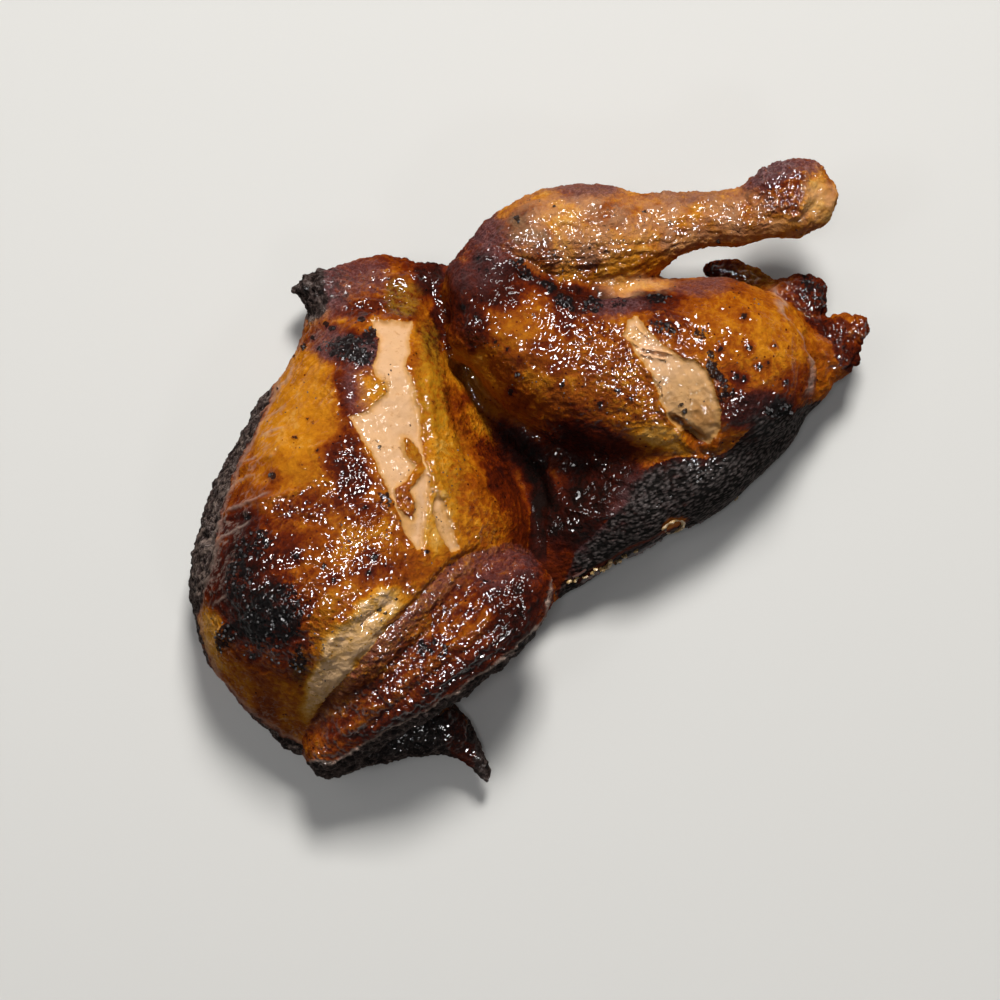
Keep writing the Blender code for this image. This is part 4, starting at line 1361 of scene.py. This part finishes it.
# %% Where the bits of fat and the shreds lie
FAT_STRANDS = [  # radius, and the places of a strand on the plan
    (0.9, [(10.5, -31), (11.6, -30.4)]), (1, [(12.6, -30.3), (13.3, -29.3)]),
    (1, [(14.6, -29.6), (16, -29.2)]), (1.4, [(17.4, -28.3), (18, -27.1)]),
    (1.5, [(19.3, -27.2), (21, -26.6)]), (1.4, [(21.6, -26), (22.2, -24.8)]),
    (1.3, [(23.4, -25.2), (25, -24.8)]), (1.1, [(25.6, -23.8), (26.6, -23.3)]),
    (0.9, [(28.8, -22.8), (29.6, -21.8)]), (0.5, [(36.6, -16.4), (38.4, -17.4), (41.6, -16.2),
    (43, -14.6), (41, -13.6), (38, -14.6), (36.6, -16.4)]), (0.5, [(57.4, -8), (59, -9.6), (59.4, -12)]),
]
DARK_STRANDS = [
    (0.9, [(27, -24.6), (31, -22.6), (34, -20.6)]), (0.7, [(33, -21.4), (36.5, -19.2)]),
    (0.7, [(14, -30.8), (17, -29), (20, -27.4)]), (0.6, [(43.5, -16), (47.5, -14)]),
    (0.6, [(34, -19.6), (37.5, -16.4)]), (0.6, [(12, -29.6), (15.5, -27.4)]),
]
print(len(FAT_STRANDS), "bits of fat and", len(DARK_STRANDS), "shreds")

# %% Bits of fat and shreds
SUNK = 0.3  # how high a strand's middle lies over the skin, as a share of its radius
STRAND_END = 0.45  # thickness of a strand at its ends, as a share of that in between
SWELL_SIZE = 1.1  # mm from one swelling to the next
SWELL = 0.7  # mm that it stands out at most
TOP = directions[:, 2] > -0.05  # the points of the skin that an eye above can see
TOP_SEEN = as_seen(on_plan(positions[TOP]))


def laid_on_skin(place, above):
    """Where on the skin a place of the plan is, in the frame, and that many mm above it."""
    nearest = np.argmin(np.hypot(*(TOP_SEEN - place).T))
    return positions[TOP][nearest] + directions[TOP][nearest] * above * MM


def strand(radius, way):
    """The mesh of one strand through the given places, in the frame."""
    curve = bpy.data.curves.new("strand", "CURVE")
    curve.dimensions = "3D"
    curve.bevel_depth = radius * MM
    curve.bevel_resolution = 3
    curve.use_fill_caps = True
    spline = curve.splines.new("NURBS")
    spline.points.add(len(way) - 1)
    spline.use_endpoint_u = True
    spline.resolution_u = 8
    spline.order_u = min(3, len(way))
    for number, place in enumerate(way):
        spline.points[number].co = (*laid_on_skin(place, SUNK * radius), 1)
        spline.points[number].radius = STRAND_END if number in (0, len(way) - 1) else 1.0
    made = placed("strand", curve)
    data = whole_mesh(made)
    bpy.data.objects.remove(made)
    bpy.data.curves.remove(curve)
    return data


def strands(name, rows, finish):
    """A piece made of several strands, swollen and pinched by noise."""
    bits = bmesh.new()
    for radius, way in rows:
        data = strand(radius, way)
        bits.from_mesh(data)
        bpy.data.meshes.remove(data)
    for vertex in bits.verts:
        swell = mathutils.noise.noise(vertex.co / MM / SWELL_SIZE) * SWELL * MM
        vertex.co += vertex.normal * swell
    data = bpy.data.meshes.new(name)
    bmesh.ops.recalc_face_normals(bits, faces=bits.faces)
    bits.to_mesh(data)
    bits.free()
    data.shade_smooth()
    data.materials.append(finish)
    deliver(name, data)


strands("fat_bits", FAT_STRANDS, crumb_finish("browned fat", (0.50, 0.32, 0.12), 0.35))
strands("skin_shreds", DARK_STRANDS, crumb_finish("dried shred", (0.08, 0.020, 0.008), 0.85))

# %% [markdown]
# ## Floor, light and camera
#
# One lamp stands in for a window and one for the room. Three small lamps straight above and to the
# sides light nothing but the coat of fat, which glints where a wrinkle faces one of them.

# %% Floor
FLOOR_HALF = 3.0


def plain_floor():
    data = bpy.data.meshes.new("floor")
    floor_mesh = bmesh.new()
    bmesh.ops.create_grid(floor_mesh, x_segments=1, y_segments=1, size=FLOOR_HALF)
    floor_mesh.to_mesh(data)
    floor_mesh.free()
    floor = placed("floor", data)
    f = Finish("pale floor")
    f.set(Base_Color=(0.58, 0.565, 0.53, 1), Roughness=0.6, Metallic=0.0)
    data.materials.append(f.material)
    print("floor:", 2 * FLOOR_HALF, "m wide")


plain_floor()


# %% Light
def softbox(name, direction, distance, size, power):
    """A square area light that looks at the middle of the bird."""
    data = bpy.data.lights.new(name, "AREA")
    data.shape = "SQUARE"
    data.size = size
    data.energy = power
    lamp = placed(name, data)
    way = Vector(direction).normalized()
    lamp.location = way * distance
    lamp.rotation_mode = "QUATERNION"
    lamp.rotation_quaternion = way.to_track_quat("Z", "Y")
    return lamp


softbox("window", (0.10, 0.72, 0.90), distance=2.2, size=0.50, power=60)
softbox("room", (-0.5, 0.2, 0.9), distance=2.5, size=1.4, power=5).visible_glossy = False
for name, direction in (
    ("glint_above", (-0.05, 0.02, 1.0)), ("glint_right", (0.45, -0.60, 0.90)),
    ("glint_left", (-0.70, -0.10, 0.90)),
):
    softbox(name, direction, distance=2.2, size=0.28, power=42).visible_diffuse = False
world = bpy.data.worlds.new("studio")
bpy.context.scene.world = world
world.use_nodes = True
background = world.node_tree.nodes["Background"]
background.inputs["Color"].default_value = (0.95, 0.97, 1.0, 1)
background.inputs["Strength"].default_value = 0.06
bpy.context.scene.view_settings.view_transform = "Standard"

# %% Camera
VIEW_WIDTH = 0.275  # of the view, at the plan's level
SENSOR = 36


def look_down():
    data = bpy.data.cameras.new("camera")
    data.sensor_width = SENSOR
    data.lens = SENSOR * (EYE[2] - LEVEL) * MM / VIEW_WIDTH
    camera = placed("camera", data)
    camera.location = in_frame(EYE)
    bpy.context.scene.camera = camera
    print("lens:", round(data.lens), "mm")


look_down()
